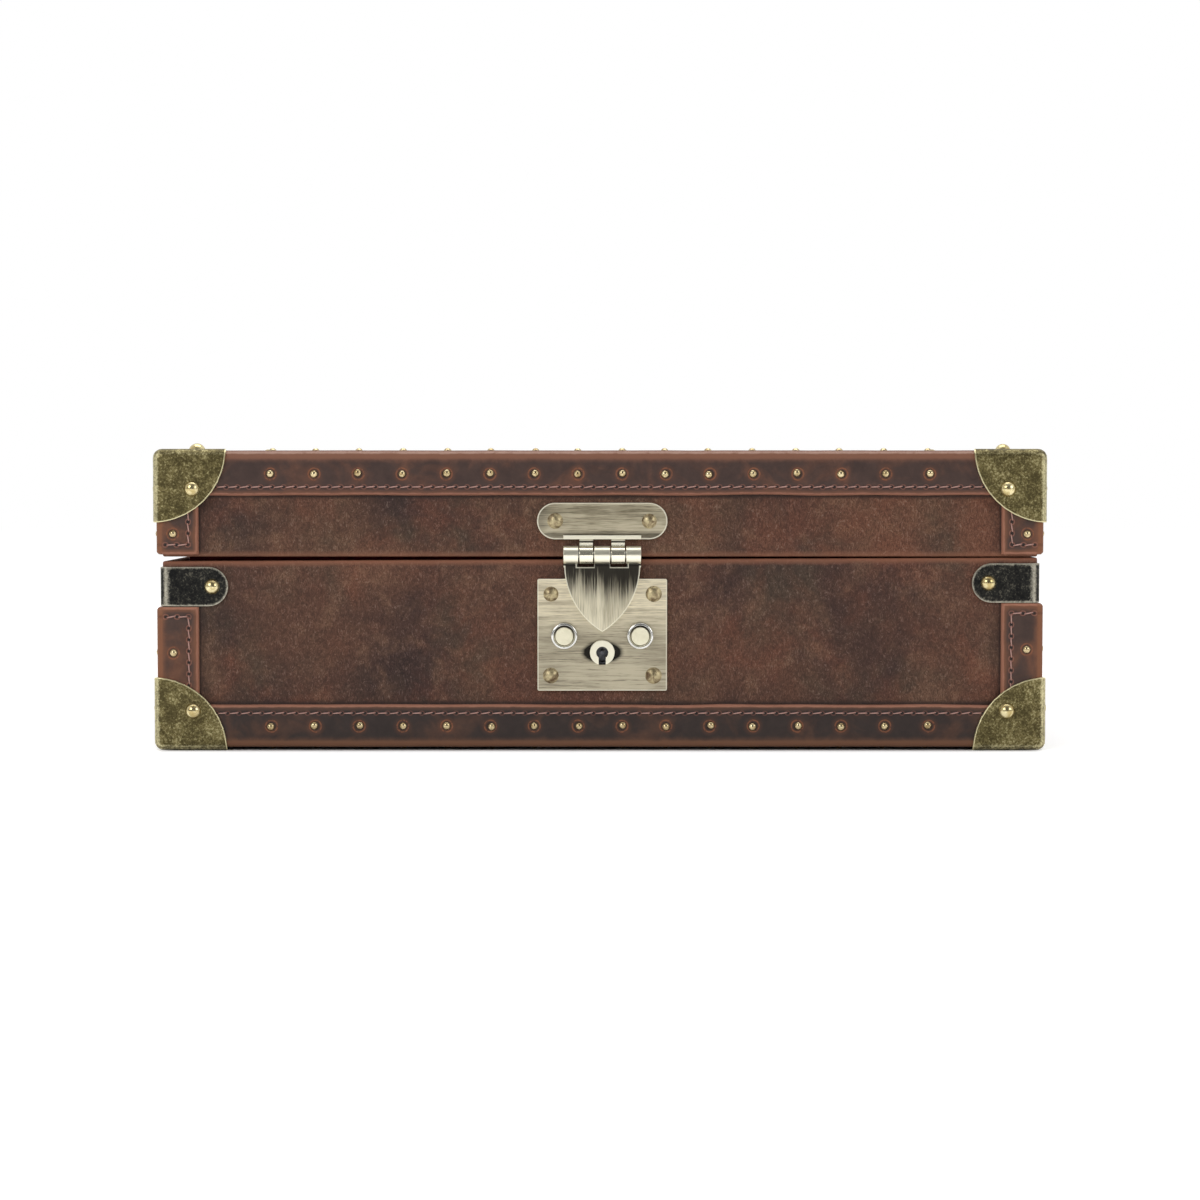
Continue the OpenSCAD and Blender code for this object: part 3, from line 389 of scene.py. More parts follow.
def strip_leather(name, centre, cut_edge, fold, fold_at, seam_in, fold_highlight, pits, lone_tack=False):
    """Folded leather; fold_at and seam_in are distances from the cut edge, fold_highlight is how strong
    the painted highlight on the very fold is, and pits is the radius of the needle holes. With a lone
    tack, the attributes say how far the tack is along and across the strip instead."""
    f = Finish(name)
    along, across, pitch = f.split(f.noted("strip", "Vector"))
    tacks = f.noted("tacked")
    small = f.cloud(4.5, 5, 0.65, 0.3, f.moved((3, 60, 20)))
    fine = f.cloud(0.9, 3, 0.7)
    colour = f.blend(f.step(f.cloud(16, 4, 0.6, 0.6), 0.46, 0.70) * 0.6, centre, cut_edge)
    colour = f.mottle(colour, 0.5, small, 0.3, 0.7, (170, 165, 170))
    colour = f.blend(f.step(across + (small - 0.5) * 1.2, 2.6, 0.6) * 0.8, colour, cut_edge)
    # A pale line on the very cut edge: partly its burnished colour, partly a painted highlight.
    colour = f.blend(f.step(across + (small - 0.5) * 0.9, 1.15, 0.5) * 0.6, colour, (178, 124, 102))
    deep = tacks + (CORNER_W - STRIP_TACK_OUT) if lone_tack else across
    folded = f.step(deep + (small - 0.5) * 1.6, fold_at - 4.2, fold_at - 0.8)
    colour = f.blend(folded * 0.9, colour, fold)
    # A painted highlight on the very fold, strongest on the lid.
    fold_highlight_mask = f.step(deep + (small - 0.5) * 0.7, fold_at + 0.4, fold_at + 0.66)
    colour = f.blend(fold_highlight_mask * fold_highlight, colour, (212, 184, 170))
    beside = pitch if lone_tack else (along + pitch * 0.5).wrap(0.0, pitch) - pitch * 0.5
    off, tacked = (tacks, 1.0) if lone_tack else (across - TACK_IN, tacks)
    ring = (beside * beside + off * off) ** 0.5
    rubbed = f.step(ring + (small - 0.5) * 2.4, 4.0, 1.7) * 0.14
    halo = f.step(abs(ring - 2.1 + (small - 0.5) * 0.5), 0.4, 0.1) * f.step(fine, 0.3, 0.55) * 0.6
    colour = f.blend(f.most(rubbed, halo) * tacked, colour, (146, 88, 56))
    # A painted shadow round each tack head.
    colour = f.blend(f.step(ring, 1.7, 1.35) * tacked * 0.85, colour, (38, 28, 22))
    step_at = along.wrap(0.0, STITCH_PITCH) - STITCH_PITCH / 2
    seam_off = across - seam_in
    hole = (step_at * step_at + seam_off * seam_off * 1.4) ** 0.5
    pit = f.step(hole, pits, 0.25)
    lip = f.step(hole, pits, pits + 0.2) * f.step(hole, pits + 0.65, pits + 0.3)
    groove = f.step(abs(seam_off), 0.9, 0.1)
    colour = f.tint(colour, groove * 0.35, (150, 140, 140))
    colour = f.blend(lip * ((pits - 0.4) * 1.6), colour, (156, 100, 84))
    colour = f.blend(pit * 0.9, colour, (26, 15, 14))
    height = 0.8 + fine * 0.2 + small * 0.25 - groove * 0.35 - pit * 0.6 - f.step(ring, 2.2, 1.5) * 0.4
    return f.surface(Base_Color=colour, Roughness=0.46 + small * 0.2 - folded * 0.05, Specular_IOR_Level=0.3,
                     Normal=f.bump(height, 0.35, 0.8))


band_finish = {
    "lid": strip_leather("binding_leather_lid", (67, 49, 43), (108, 70, 52), (124, 83, 64),
                         LID_BAND_W, SEAM_IN, 0.27, 0.62),
    "base": strip_leather("binding_leather_base", (50, 39, 35), (94, 63, 47), (108, 72, 50),
                          BASE_BAND_W, SEAM_IN, 0.0, 0.56)}
corner_finish = strip_leather("corner_leather", (70, 52, 45), (120, 77, 54), (126, 80, 54),
                              CORNER_W, STRIP_SEAM_IN, 0.1, 0.7, True)


# %% [markdown]
# ## Metals
#
# Three metals are on this box. The corner caps are antiqued brass, tumbled dull and speckled with
# olive patina, with the brass rubbed bright on the rims and a painted highlight on the bends. The
# braces are almost black, with the same painted highlight on their bends. The lock and hasp are
# plated pale brass, brushed in one direction and washed dark in the corners, with painted shade
# under the ledge, under the knuckles and over the lower half of the plate.


# %% Antiqued metal of the caps and braces
def antiqued(name, dull, bright, bright_from, bright_at):
    """Speckled patina over a bright metal; the mesh's rub_and_highlight attribute says where the rim is worn
    bare and where a highlight is painted on the bends.
    """
    f = Finish(name)
    worn = f.noted("rub_and_highlight")
    speck = f.cloud(0.75, 3, 0.75, 0.3)
    blotch = f.cloud(5.5, 5, 0.65, 0.8, f.moved((11, 4, 8)))
    colour = f.blend(f.step(blotch * 0.7 + speck * 0.8, 0.60, 0.90), dull[0], dull[1])
    colour = f.blend(f.step(speck + (blotch - 0.5) * 0.5, 0.56, 0.68) * 0.75, colour, dull[2])
    # Bright metal where the rim is worn and where a highlight is painted on the bends.
    bare_and_lit = f.step(worn + (speck - 0.5) * 1.0 + (blotch - 0.5) * 0.4, bright_from, bright_at)
    return f.surface(Base_Color=f.blend(bare_and_lit, colour, bright), Metallic=0.85,
                     Roughness=0.46 + blotch * 0.16 - bare_and_lit * 0.2,
                     Normal=f.bump(speck * 0.6 + f.cloud(2.2, 3, 0.6) * 0.6, 0.12, 0.6))


cap_finish = antiqued("cap_brass", ((72, 64, 38), (124, 113, 74), (176, 167, 124)), (216, 207, 164),
                      0.3, 1.15)
brace_finish = antiqued("brace_bronze", ((22, 22, 22), (50, 49, 45), (100, 96, 84)), (196, 190, 172),
                        0.25, 1.3)


# %% Brushed metal of the lock and hasp
def brushed(name, along, pale, dark, wash_and_shade, bright, polish=None):
    """Fine lines along one axis, darkened where the metal was washed and where shade is painted.
    bright is 1 on rims that catch the light, and polish is 1 where the metal was buffed to a mirror."""
    f = Finish(name)
    squeeze = {"x": (0.035, 1, 1), "z": (1, 1, 0.03)}[along]
    lines = f.cloud(0.42, 3, 0.8, at=f.moved(scale=squeeze))
    bands = f.cloud(3.0, 2, 0.5, at=f.moved((7, 2, 9), squeeze))
    soft = f.cloud(13, 2, 0.5)
    colour = f.blend(f.step(lines * 0.6 + bands * 0.3 + soft * 0.25, 0.44, 0.70), dark, pale)
    shade = wash_and_shade(f, lines, bands)
    colour = f.blend(f.least(shade, 1.0), colour, (40, 37, 33))
    colour = f.blend(bright(f), colour, (238, 233, 212))
    rough, height = 0.30 + lines * 0.14 + shade * 0.1, lines
    if polish:
        mirror, gloss = polish(f), 0.13 if along == "x" else 0.3
        colour = f.blend(mirror, colour, (240, 235, 214))
        rough, height = rough * (1 - mirror) + mirror * gloss, lines * (1 - mirror)
    return f.surface(Base_Color=colour, Metallic=0.92, Roughness=rough, Normal=f.bump(height, 0.03, 0.5))


# %% Lock plate: a dark halo beside the keyhole
PLATE_HALF_X, PLATE_HALF_Z = 23.2, 20.05


def plate_wash_and_shade(f, lines, bands):
    """A dark halo to both sides of the keyhole's boss, a lower half darkened as painted shade, and dark
    scratches.
    """
    dx, dz = f.x - LOCK_X, f.z - KEY_Z
    halo = f.step((dx * dx * 0.42 + dz * dz * 1.5) ** 0.5 + (bands - 0.5) * 1.2, 5.4, 3.1)
    # Painted shade: darker towards the bottom of the plate.
    low = f.step(f.z + (bands - 0.5) * 10, 55.0, 38.0) * 0.42
    return halo * 0.95 + low + f.step(lines, 0.44, 0.34) * 0.22


def plate_rim(f):
    dx, dz = abs(f.x - LOCK_X) - PLATE_HALF_X, abs(f.z - LOCK_Z) - PLATE_HALF_Z
    from_key = ((f.x - LOCK_X) ** 2.0 + (f.z - KEY_Z) ** 2.0) ** 0.5
    return f.most(f.step(f.most(dx, dz), -0.5, -0.25) * 0.6, f.step(from_key, 4.5, 4.35))


plate_finish = brushed("lock_brass_plate", "x", (240, 229, 199), (190, 179, 154), plate_wash_and_shade, plate_rim)


# %% Bracket: dark towards its ledge
LEDGE_Z, LEDGE_UNDER_Z, LEDGE_HALF = 76.4, 75.1, 14.1


# Painted shadow: a dark band just under the ledge.
def ledge_shadow(f):
    return f.step(abs(f.z - LEDGE_UNDER_Z), 0.7, 0.45)


def bracket_wash_and_shade(f, lines, bands):
    """Dark towards the ledge and at the left end, with a painted shadow under the ledge."""
    low = f.step(f.z + (bands - 0.5) * 2.4, 80.2, 77.2) * 0.55
    end = f.step(f.x - LOCK_X + (bands - 0.5) * 3, -17.0, -22.5) * 0.5
    return f.most(low, end) + (0.5 - bands) * 0.35 + f.step(lines, 0.46, 0.34) * 0.3 + ledge_shadow(f) * 0.4


def bracket_rim(f):
    side = f.most(abs(f.x - LOCK_X) - BRACKET_SIDE, 0.0)
    rim = (side * side + (f.z - BRACKET_Z) ** 2.0) ** 0.5
    ledge = f.step(abs(f.z - LEDGE_Z), 0.9, 0.7) * f.step(abs(f.x - LOCK_X), LEDGE_HALF, LEDGE_HALF - 0.3)
    above_it = f.step(f.z, LEDGE_UNDER_Z - 0.1, LEDGE_UNDER_Z + 0.2)
    return f.most(f.step(rim, BRACKET_R - 0.6, BRACKET_R - 0.3) * above_it * 0.75, ledge)


def bracket_polish(f):
    return f.step(f.z, LEDGE_UNDER_Z + 0.7, LEDGE_UNDER_Z + 0.5) * (1 - ledge_shadow(f))


bracket_finish = brushed("lock_brass_bracket", "x", (198, 188, 162), (130, 121, 99),
                         bracket_wash_and_shade, bracket_rim, bracket_polish)

# %% Shield: streaks that run down from the knuckles
SHIELD_TOP_Z, SHIELD_HALF, SHIELD_ARC = 66.7, 13.57, 28.1


def shield_wash_and_shade(f, lines, bands):
    """Dark streaks run down from the knuckles, and a band of painted shade lies just under them."""
    patches = f.cloud(4.5, 2, 0.5, at=f.moved((3, 0, 0), (1, 1, 0.05)))
    streaks = f.cloud(0.9, 3, 0.7, at=f.moved((13, 0, 0), (1, 1, 0.03)))
    from_side = f.step(f.x - LOCK_X, -14.0, 6.0) * 2.5
    level = f.z + (patches - 0.5) * 14 + (streaks - 0.5) * 14 + (lines - 0.5) * 18 + from_side
    # The last term is painted shade just under the knuckles.
    return f.most(f.step(level, 53.0, 65.2) * 0.98, f.step(f.z, SHIELD_TOP_Z - 1.3, SHIELD_TOP_Z - 0.5))


def shield_rim(f):
    across, down = abs(f.x - LOCK_X) + (SHIELD_ARC - SHIELD_HALF), f.z - SHIELD_TOP_Z
    edge = SHIELD_ARC - (across * across + down * down) ** 0.5
    notch = abs(f.most(abs(abs(f.x - LOCK_X) - 6.1) - 3.2, SHIELD_TOP_Z - 1.0 - f.z))
    below_it = f.step(f.z, SHIELD_TOP_Z - 0.1, SHIELD_TOP_Z - 0.5)
    return f.most(f.step(edge, 0.5, 0.25) * below_it * 0.8, f.step(notch, 0.28, 0.1) * 0.6)


shield_finish = brushed("lock_brass_shield", "z", (226, 218, 192), (170, 162, 139), shield_wash_and_shade, shield_rim,
                        lambda f: f.step(f.z, SHIELD_TOP_Z + 0.2, SHIELD_TOP_Z + 0.4))


# %% Polished and plain metals
def polished(name, pale, dark, size, rough, metal=0.95, groove_shade=None):
    """Plain metal with soft blotches; groove_shade is 1 where shade is painted in a groove."""
    f = Finish(name)
    blotch = f.cloud(size, 4, 0.6, 0.5)
    colour = f.blend(f.step(blotch, 0.3, 0.7), dark, pale)
    if groove_shade:
        # Painted shade in a groove.
        colour = f.blend(groove_shade(f), colour, (44, 42, 46))
    return f.surface(Base_Color=colour, Metallic=metal, Roughness=rough + blotch * 0.12,
                     Normal=f.bump(f.cloud(size * 0.5, 3, 0.6), 0.03, 0.5))


def button_groove_shade(f):
    """Painted shade in the groove between a button and its collar, darkest at the top."""
    dx, dz = abs(f.x - LOCK_X) - BUTTON_X, f.z - BUTTON_Z
    return f.step((dx * dx + dz * dz) ** 0.5, 4.15, 3.75) * (0.25 + f.step(dz, -1.5, 2.5) * 0.7)


button_finish = polished("button_plating", (240, 234, 208), (226, 220, 192), 4.0, 0.26)
collar_finish = polished("collar_plating", (226, 225, 219), (198, 197, 190), 3.0, 0.12, groove_shade=button_groove_shade)
rivet_finish = polished("rivet_brass", (226, 214, 170), (176, 156, 104), 2.2, 0.17)
old_rivet_finish = polished("rivet_antique", (190, 176, 138), (92, 74, 54), 2.3, 0.34, 0.85)
tack_finish = polished("tack_brass", (214, 198, 158), (150, 128, 88), 1.2, 0.16)
iron_finish = polished("inner_iron", (66, 66, 68), (40, 40, 42), 5.0, 0.35)
hinge_finish = polished("hinge_brass", (178, 160, 112), (118, 102, 62), 4.0, 0.32)
case_finish = polished("lock_case_iron", (112, 112, 116), (58, 58, 60), 3.0, 0.25)
steel_finish = polished("inner_steel", (176, 176, 172), (140, 140, 138), 6.0, 0.3)


# %% [markdown]
# ## Wood, velvet and thread
#
# The wood is out of sight behind leather and lining, but it is there when the box is taken apart.
# The lining and the cushions are short-pile velvet: a deep red that is darkest looked at straight on
# and paler at grazing angles, which is what the sheen setting is for.


# %% Wood, velvet and thread
def velvet(name, deep, pale, seams=None):
    """Crushed pile; seams is 1 in a quilted channel, where shade is painted."""
    f = Finish(name)
    crush = f.cloud(9, 4, 0.6, 1.0)
    pile = f.cloud(0.45, 2, 0.7)
    colour = f.blend(f.step(crush, 0.35, 0.7), deep, pale)
    if seams:
        # Painted shade in the quilted channels.
        colour = f.tint(colour, seams(f) * 0.7, (112, 100, 104))
    return f.surface(
        Base_Color=colour, Roughness=0.86 + crush * 0.1, Normal=f.bump(pile * 0.7 + crush * 0.3, 0.2, 0.6),
        Specular_IOR_Level=0.15, Sheen_Weight=0.3, Sheen_Roughness=0.45, Sheen_Tint=ink((214, 110, 112)))


HALF_FIELD_X, HALF_FIELD_Y = 36.5, 36.4      # from a channel of the lid's pad to the middle of a field


def quilted_channel_shade(f):
    """1 in the channels of the lid's pad, where shade is painted."""
    beside_x = abs(f.x.wrap(HALF_FIELD_X, -HALF_FIELD_X))
    beside_y = abs((f.y + HALF_FIELD_Y).wrap(HALF_FIELD_Y, -HALF_FIELD_Y))
    return f.most(f.step(beside_x, 13, 0.5), f.step(beside_y, 13, 0.5))


def bare_wood(name):
    f = Finish(name)
    grain = f.cloud(3.0, 5, 0.6, 1.5, f.moved(scale=(0.05, 1, 1)))
    colour = f.blend(f.step(grain, 0.3, 0.7), (150, 112, 74), (192, 154, 108))
    return f.surface(Base_Color=colour, Roughness=0.6 + grain * 0.15, Normal=f.bump(grain, 0.1, 0.5))


def twisted(name):
    f = Finish(name)
    twist = f.cloud(0.5, 3, 0.7)
    return f.surface(Base_Color=f.blend(twist, (132, 92, 84), (206, 166, 154)), Roughness=0.75 + twist * 0.1,
                     Normal=f.bump(twist, 0.1, 0.6))


lining_finish = velvet("lining_velvet", (74, 20, 26), (98, 30, 36))
cushion_finish = velvet("cushion_velvet", (110, 31, 36), (124, 39, 43))
pad_finish = velvet("pad_velvet", (110, 31, 36), (124, 39, 43), quilted_channel_shade)
wood_finish = bare_wood("wood")
thread_finish = twisted("thread")
print(len(bpy.data.materials), "materials")

# %% [markdown]
# ## Making and fitting a piece
#
# A piece that the CAD model already shapes well keeps its form and only has its knife-sharp edges
# eased: its mesh is copied, its loose triangles are merged, and a narrow bevel catches the light.
# Everything else is drawn from its own points.


# %% Meshes
def drawn(name, points, faces=(), edges=()):
    """A mesh from points in millimetres."""
    mesh = bpy.data.meshes.new(name)
    mesh.from_pydata([tuple(v * MM for v in p) for p in points], list(edges), list(faces))
    return mesh


def grid_mesh(name, rows, closed=False):
    """Faces between rows of points; each row has the same count. closed joins each row's ends."""
    count = len(rows[0])
    faces = []
    for r in range(len(rows) - 1):
        for c in range(count if closed else count - 1):
            a, b = r * count + c, r * count + (c + 1) % count
            faces.append((a, b, b + count, a + count))
    if closed:
        faces += [tuple(reversed(range(count))), tuple(range((len(rows) - 1) * count, len(rows) * count))]
    return drawn(name, [p for row in rows for p in row], faces)


def full_turn(steps):
    """The angles of a full turn in even steps."""
    return [2 * math.pi * i / steps for i in range(steps)]


def mended(mesh, merge=0.0, flatten=0.0, outward=True):
    """Merges points that meet, joins faces that lie flat, and turns every face to the outside."""
    work = bmesh.new()
    work.from_mesh(mesh)
    if merge:
        bmesh.ops.remove_doubles(work, verts=work.verts, dist=merge)
    if flatten:
        bmesh.ops.dissolve_limit(work, angle_limit=flatten, verts=work.verts, edges=work.edges)
    if outward:
        bmesh.ops.recalc_face_normals(work, faces=work.faces)
    work.to_mesh(mesh)
    work.free()
    return mesh


def joined(name, meshes):
    """One mesh out of several, with their attributes."""
    work = bmesh.new()
    for mesh in meshes:
        work.from_mesh(mesh)
    whole = bpy.data.meshes.new(name)
    work.to_mesh(whole)
    work.free()
    return whole


def note(mesh, attribute, values):
    """Stores a number or a vector for each point of a mesh."""
    vectors = isinstance(values[0], tuple)
    layer = mesh.attributes.new(attribute, "FLOAT_VECTOR" if vectors else "FLOAT", "POINT")
    if vectors:
        layer.data.foreach_set("vector", [n for v in values for n in v])
    else:
        layer.data.foreach_set("value", values)
    return mesh


# %% Pieces
def shaped(piece, name, kind, **settings):
    """Adds a modifier with its settings."""
    modifier = piece.modifiers.new(name, kind)
    for key, value in settings.items():
        setattr(modifier, key, value)
    return modifier


def frozen(holder):
    """The plain mesh that an object's modifiers make; the object itself is removed."""
    graph = bpy.context.evaluated_depsgraph_get()
    mesh = bpy.data.meshes.new_from_object(holder.evaluated_get(graph), depsgraph=graph)
    bpy.data.objects.remove(holder)
    return mesh


def new_piece(name, mesh, finish, body, slot, *replaced):
    """Puts a mesh in the scene as a piece of the box, in place of some CAD nodes."""
    mesh.materials.clear()
    mesh.materials.append(finish)
    mesh.shade_smooth()
    piece = linked(name, mesh)
    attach(piece, body)
    if replaced:
        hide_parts(*replaced)
    return piece


def eased_copy(node, finish, body, slot, width, segments=2, angle=32):
    """A copy of a CAD node whose sharp edges are rounded by width millimetres."""
    mesh = mended(nodes[node].data.copy(), 2e-6, math.radians(0.5))
    piece = new_piece(node + "_dressed", mesh, finish, body, slot, node)
    shaped(piece, "eased_edges", "BEVEL", width=width * MM, segments=segments, limit_method="ANGLE",
           angle_limit=math.radians(angle), use_clamp_overlap=True)
    shaped(piece, "flats_stay_flat", "WEIGHTED_NORMAL", weight=90)


def finish_nodes(finish, *names):
    """Gives CAD nodes that keep their own shape a better material."""
    for name in names:
        nodes[name].data.materials.clear()
        nodes[name].data.materials.append(finish)


def wander(seed, at, size):
    """A slow drift from about -1 to 1, for edges that were cut by hand."""
    return noise.noise(Vector((at / size, seed * 7.3, 0.5))) * 1.6


# %% [markdown]
# ## Leather panels
#
# The two leather shells are right as they are, apart from their rims, which are folded leather and
# so are rounder than a CAD edge.

# %% Leather panels
for body, finish in panel_finish.items():
    eased_copy(body + "_leather", finish, body, "panel_leather", 0.7, 3, 60)

# %% [markdown]
# ## Bindings
#
# Each binding is a strip folded over an edge of the box and mitred at its ends. Its section is
# drawn once: a rounded cut edge, a shallow dip where the seam pulls it down, a slightly swollen
# middle and a soft fold. The section is then carried along the edge, and the cut edge wanders a
# little, as a hand-cut one does. The lid's bindings are the base's turned upside down.

# %% Section of a binding
LEG_STEPS = (0.0, 0.25, 0.7, 1.3, 2.1, 3.0, 3.9, 5.0, 6.4, 8.0, 9.6, 11.2, 12.6)
QUARTER_TURN = [math.pi / 2 * i / 5 for i in range(6)]
ROUNDED, SEAM_DIP, SWELL = 1.1, 0.28, 0.16
BAND_FOLD_R = 1.7
LINING_LIFT = 0.15        # the hidden side of a strip stands this much off the panel


def leg_height(across, width):
    """How far the leather stands off the panel at a distance from its cut edge."""
    round_off = BAND_T * (1 - (1 - across / ROUNDED) ** 2) ** 0.5 if across < ROUNDED else BAND_T
    dip = SEAM_DIP * math.exp(-((across - SEAM_IN) / 0.9) ** 2)
    swell = SWELL * math.sin(math.pi * min(max((across - SEAM_IN) / (width - SEAM_IN), 0), 1))
    return round_off - dip + swell


def band_section(width):
    """Points (out from the panel, up from its lower edge, distance from the cut edge)."""
    long, r = width - BAND_T, BAND_FOLD_R
    upper = [(leg_height(a, width), long - a, a) for a in LEG_STEPS]
    fold = [(BAND_T - r + r * math.cos(turn), -BAND_T + r - r * math.sin(turn),
             width - 0.5 + 1.2 * math.sin(2 * turn)) for turn in QUARTER_TURN]
    lower = [(-(long - a), -leg_height(a, width), a) for a in reversed(LEG_STEPS)]
    under = [(-long, LINING_LIFT, 0.0), (-LINING_LIFT, LINING_LIFT, 4.0), (-LINING_LIFT, long, 0.0)]
    return upper + fold + lower + under


# %% Bindings
SIDES = {"front": (0, PANEL_X, PANEL_Y), "right": (1, PANEL_Y, PANEL_X),
         "back": (2, PANEL_X, PANEL_Y), "left": (3, PANEL_Y, PANEL_X)}
LID_RAISE = 0.5           # the lid's bindings are padded up to the caps' level
TACK_END, TACK_SPACING = 39.0, 15.7
BAND_COLUMNS = 110


def turned(point, side):
    """Turns a point of the front to another side of the box."""
    x, y, z = point
    return [(x, y, z), (-y, x, z), (-x, -y, z), (y, -x, z)][side]


def tack_row(length):
    """Number of gaps and spacing of the tacks along one side."""
    between_ends = length - 2 * TACK_END
    gaps = max(1, round(between_ends / TACK_SPACING))
    return gaps, between_ends / gaps


def binding(side, width, lid):
    turn, half, out = SIDES[side]
    gaps, pitch = tack_row(2 * half)
    first = pitch * 0.5 if gaps % 2 else 0
    seed = turn + (10 if lid else 0)
    rows, values, tacked = [], [], []
    for i in range(BAND_COLUMNS + 1):
        row = []
        for o, up, across in band_section(width):
            along = (-1 + 2 * i / BAND_COLUMNS) * (half + o - 0.02)
            edge = wander(seed, along, 22) * 0.22 * max(0.0, 1 - across / 5)
            bulge = wander(seed + 40, along, 9) * 0.05
            up = up * (1 + LID_RAISE / BAND_T) if lid and up < 0 else up
            z = CAP_T + BAND_T + up + (edge if up > 0 else 0) - (bulge if up < 0 else 0)
            y = -out - o + (edge if up < 0 else 0) - (bulge if o > 0.2 else 0)
            row.append(turned((along, y, BOX_TOP - z if lid else z), turn))
            values.append((along - first, across, pitch))
            tacked.append(1.0 if abs(along) < half - TACK_END + 4 else 0.0)
        rows.append(row)
    return mended(note(note(grid_mesh("binding", rows, True), "strip", values), "tacked", tacked))


for side in SIDES:
    for body, width in (("lid", LID_BAND_W), ("base", BASE_BAND_W)):
        node = body + "_binding_" + side
        new_piece(node + "_leather", binding(side, width, body == "lid"), band_finish[body],
                  body, "binding_leather", node)
print("eight bindings with", len(band_section(LID_BAND_W)), "points to a section")

# %% [markdown]
# ## Upright corner strips
#
# A corner strip is folded round an upright corner. Its section is the same rounded and seamed one
# as a binding's, carried upwards, and its ends are rounded over in the last few rows.

# %% Where the strips, braces and their tacks lie
CORNERS = {"front_left": (1, 1), "front_right": (-1, 1), "back_left": (1, -1), "back_right": (-1, -1)}
STRIP_GAP = 0.3
CAP_REACH = 26.3
BRACE_H, BRACE_DROP = 14.0, 2.1
BASE_STRIP_TACK, LID_STRIP_TACK = 16.8, 4.1  # below the brace, and below the upper cap
FIRST_STITCH = STRIP_SEAM_IN + STITCH_PITCH / 2


def brace_level(mx):
    """Middle height of the brace on the left (1) or the right (-1)."""
    return (RIM_HIGH if mx < 0 else RIM_HIGH - RIM_FALL) - BRACE_DROP - BRACE_H / 2


def strip_levels(lid, mx):
    """Lowest and highest level of a corner strip, and the level of its tacks."""
    if lid:
        return LID_LOW + 0.8, LID_EDGE - STRIP_GAP, BOX_TOP - CAP_REACH - LID_STRIP_TACK
    under_brace = brace_level(mx) - BRACE_H / 2
    return BASE_EDGE + STRIP_GAP, under_brace - STRIP_GAP, under_brace - BASE_STRIP_TACK


# %% Corner strips
STRIP_FOLD_R = 1.6
STRIP_ROWS = 16


def corner_section():
    """Points (x, y, distance from the cut edge) from the front left corner of the panels."""
    long, r, lift = CORNER_W - BAND_T, STRIP_FOLD_R, LINING_LIFT
    front = [(long - a, -leg_height(a, CORNER_W), a) for a in LEG_STEPS]
    fold = [(-BAND_T + r - r * math.sin(turn), -BAND_T + r - r * math.cos(turn), CORNER_W - 0.5)
            for turn in QUARTER_TURN]
    side = [(-leg_height(a, CORNER_W), long - a, a) for a in reversed(LEG_STEPS)]
    return front + fold + side + [(lift, long, 0.0), (lift, lift, 4.0), (long, lift, 0.0)]


def corner_strip(lid, seed, mx, my):
    """One strip with a tack on each leg; the cross seam is at the end that lies open."""
    low, high, tack_level = strip_levels(lid, mx)
    levels = [low, low + 0.15, low + 0.5, low + 1.0]
    levels += [low + 1 + (high - low - 2) * i / STRIP_ROWS for i in range(1, STRIP_ROWS)]
    levels += [high - 1.0, high - 0.5, high - 0.15, high]
    rows, values, tacks = [], [], []
    for z in levels:
        sink = BAND_T * 0.45 * (1 - min(z - low, high - z, 1.0)) ** 2
        from_end = (z - low) if lid else (high - z)
        row = []
        for x, y, across in corner_section():
            drift = wander(seed, z, 14) * 0.2 * max(0.0, 1 - across / 5)
            on_side = y > 0
            if y < -0.2:
                y, x = min(y + sink, -0.2), x + drift
            if x < -0.2:
                x, y = min(x + sink, -0.2), y + (drift if on_side else 0)
            row.append(((-PANEL_X + x) * mx, (-PANEL_Y + y) * my, z))
            values.append((max(across, from_end) - FIRST_STITCH, min(across, from_end), z - tack_level))
            tacks.append(across - (CORNER_W - STRIP_TACK_OUT))
        rows.append(row)
    return mended(note(note(grid_mesh("corner_strip", rows, True), "strip", values), "tacked", tacks))


for body, seed in (("base", 3), ("lid", 13)):
    strips = [corner_strip(body == "lid", seed + mx + 2 * my, mx, my) for mx, my in CORNERS.values()]
    new_piece(body + "_corner_strips_leather", joined("strips", strips), corner_finish,
              body, "binding_leather", body + "_corner_strips")
print("eight corner strips")

# %% [markdown]
# ## Corner caps
#
# A corner cap is pressed from sheet brass: three quarter discs that meet in soft bends. Points are
# laid out in fans on the three faces of a sharp corner and then pulled onto a rounded corner, the
# same way a pressing tool works. Solidify gives the sheet its thickness, and a narrow bevel its
# rubbed rim. Each point carries how bright it is: worn on the rim, with a painted highlight on the bends.

# %% Corner caps
CAP_X, CAP_Y = PANEL_X + BAND_T + CAP_T, PANEL_Y + BAND_T + CAP_T
CAP_BEND = 3.3
FAN = (0.0, 1.2, 2.4, 3.6, 5.0, 6.6, 8.6, 12.0, 18.0, 27.0, 36.0, 45.0)
RINGS = (0.5, 1.1, 1.8, 2.6, 3.6, 5.0, 7.0, 11.0, 14.0, 17.0, 20.0, 22.5, 24.3, 25.4, 25.85, 26.05, CAP_REACH)


def cap_spokes():
    """Directions that fan out over the three faces of a corner, closest at the bends."""
    spokes = []
    for first in range(3):
        for angle in (FAN + tuple(90 - a for a in reversed(FAN[:-1])))[:-1]:
            spoke = [0.0, 0.0, 0.0]
            turn = math.radians(angle)
            spoke[first], spoke[(first + 1) % 3] = math.cos(turn), math.sin(turn)
            spokes.append(spoke)
    return spokes


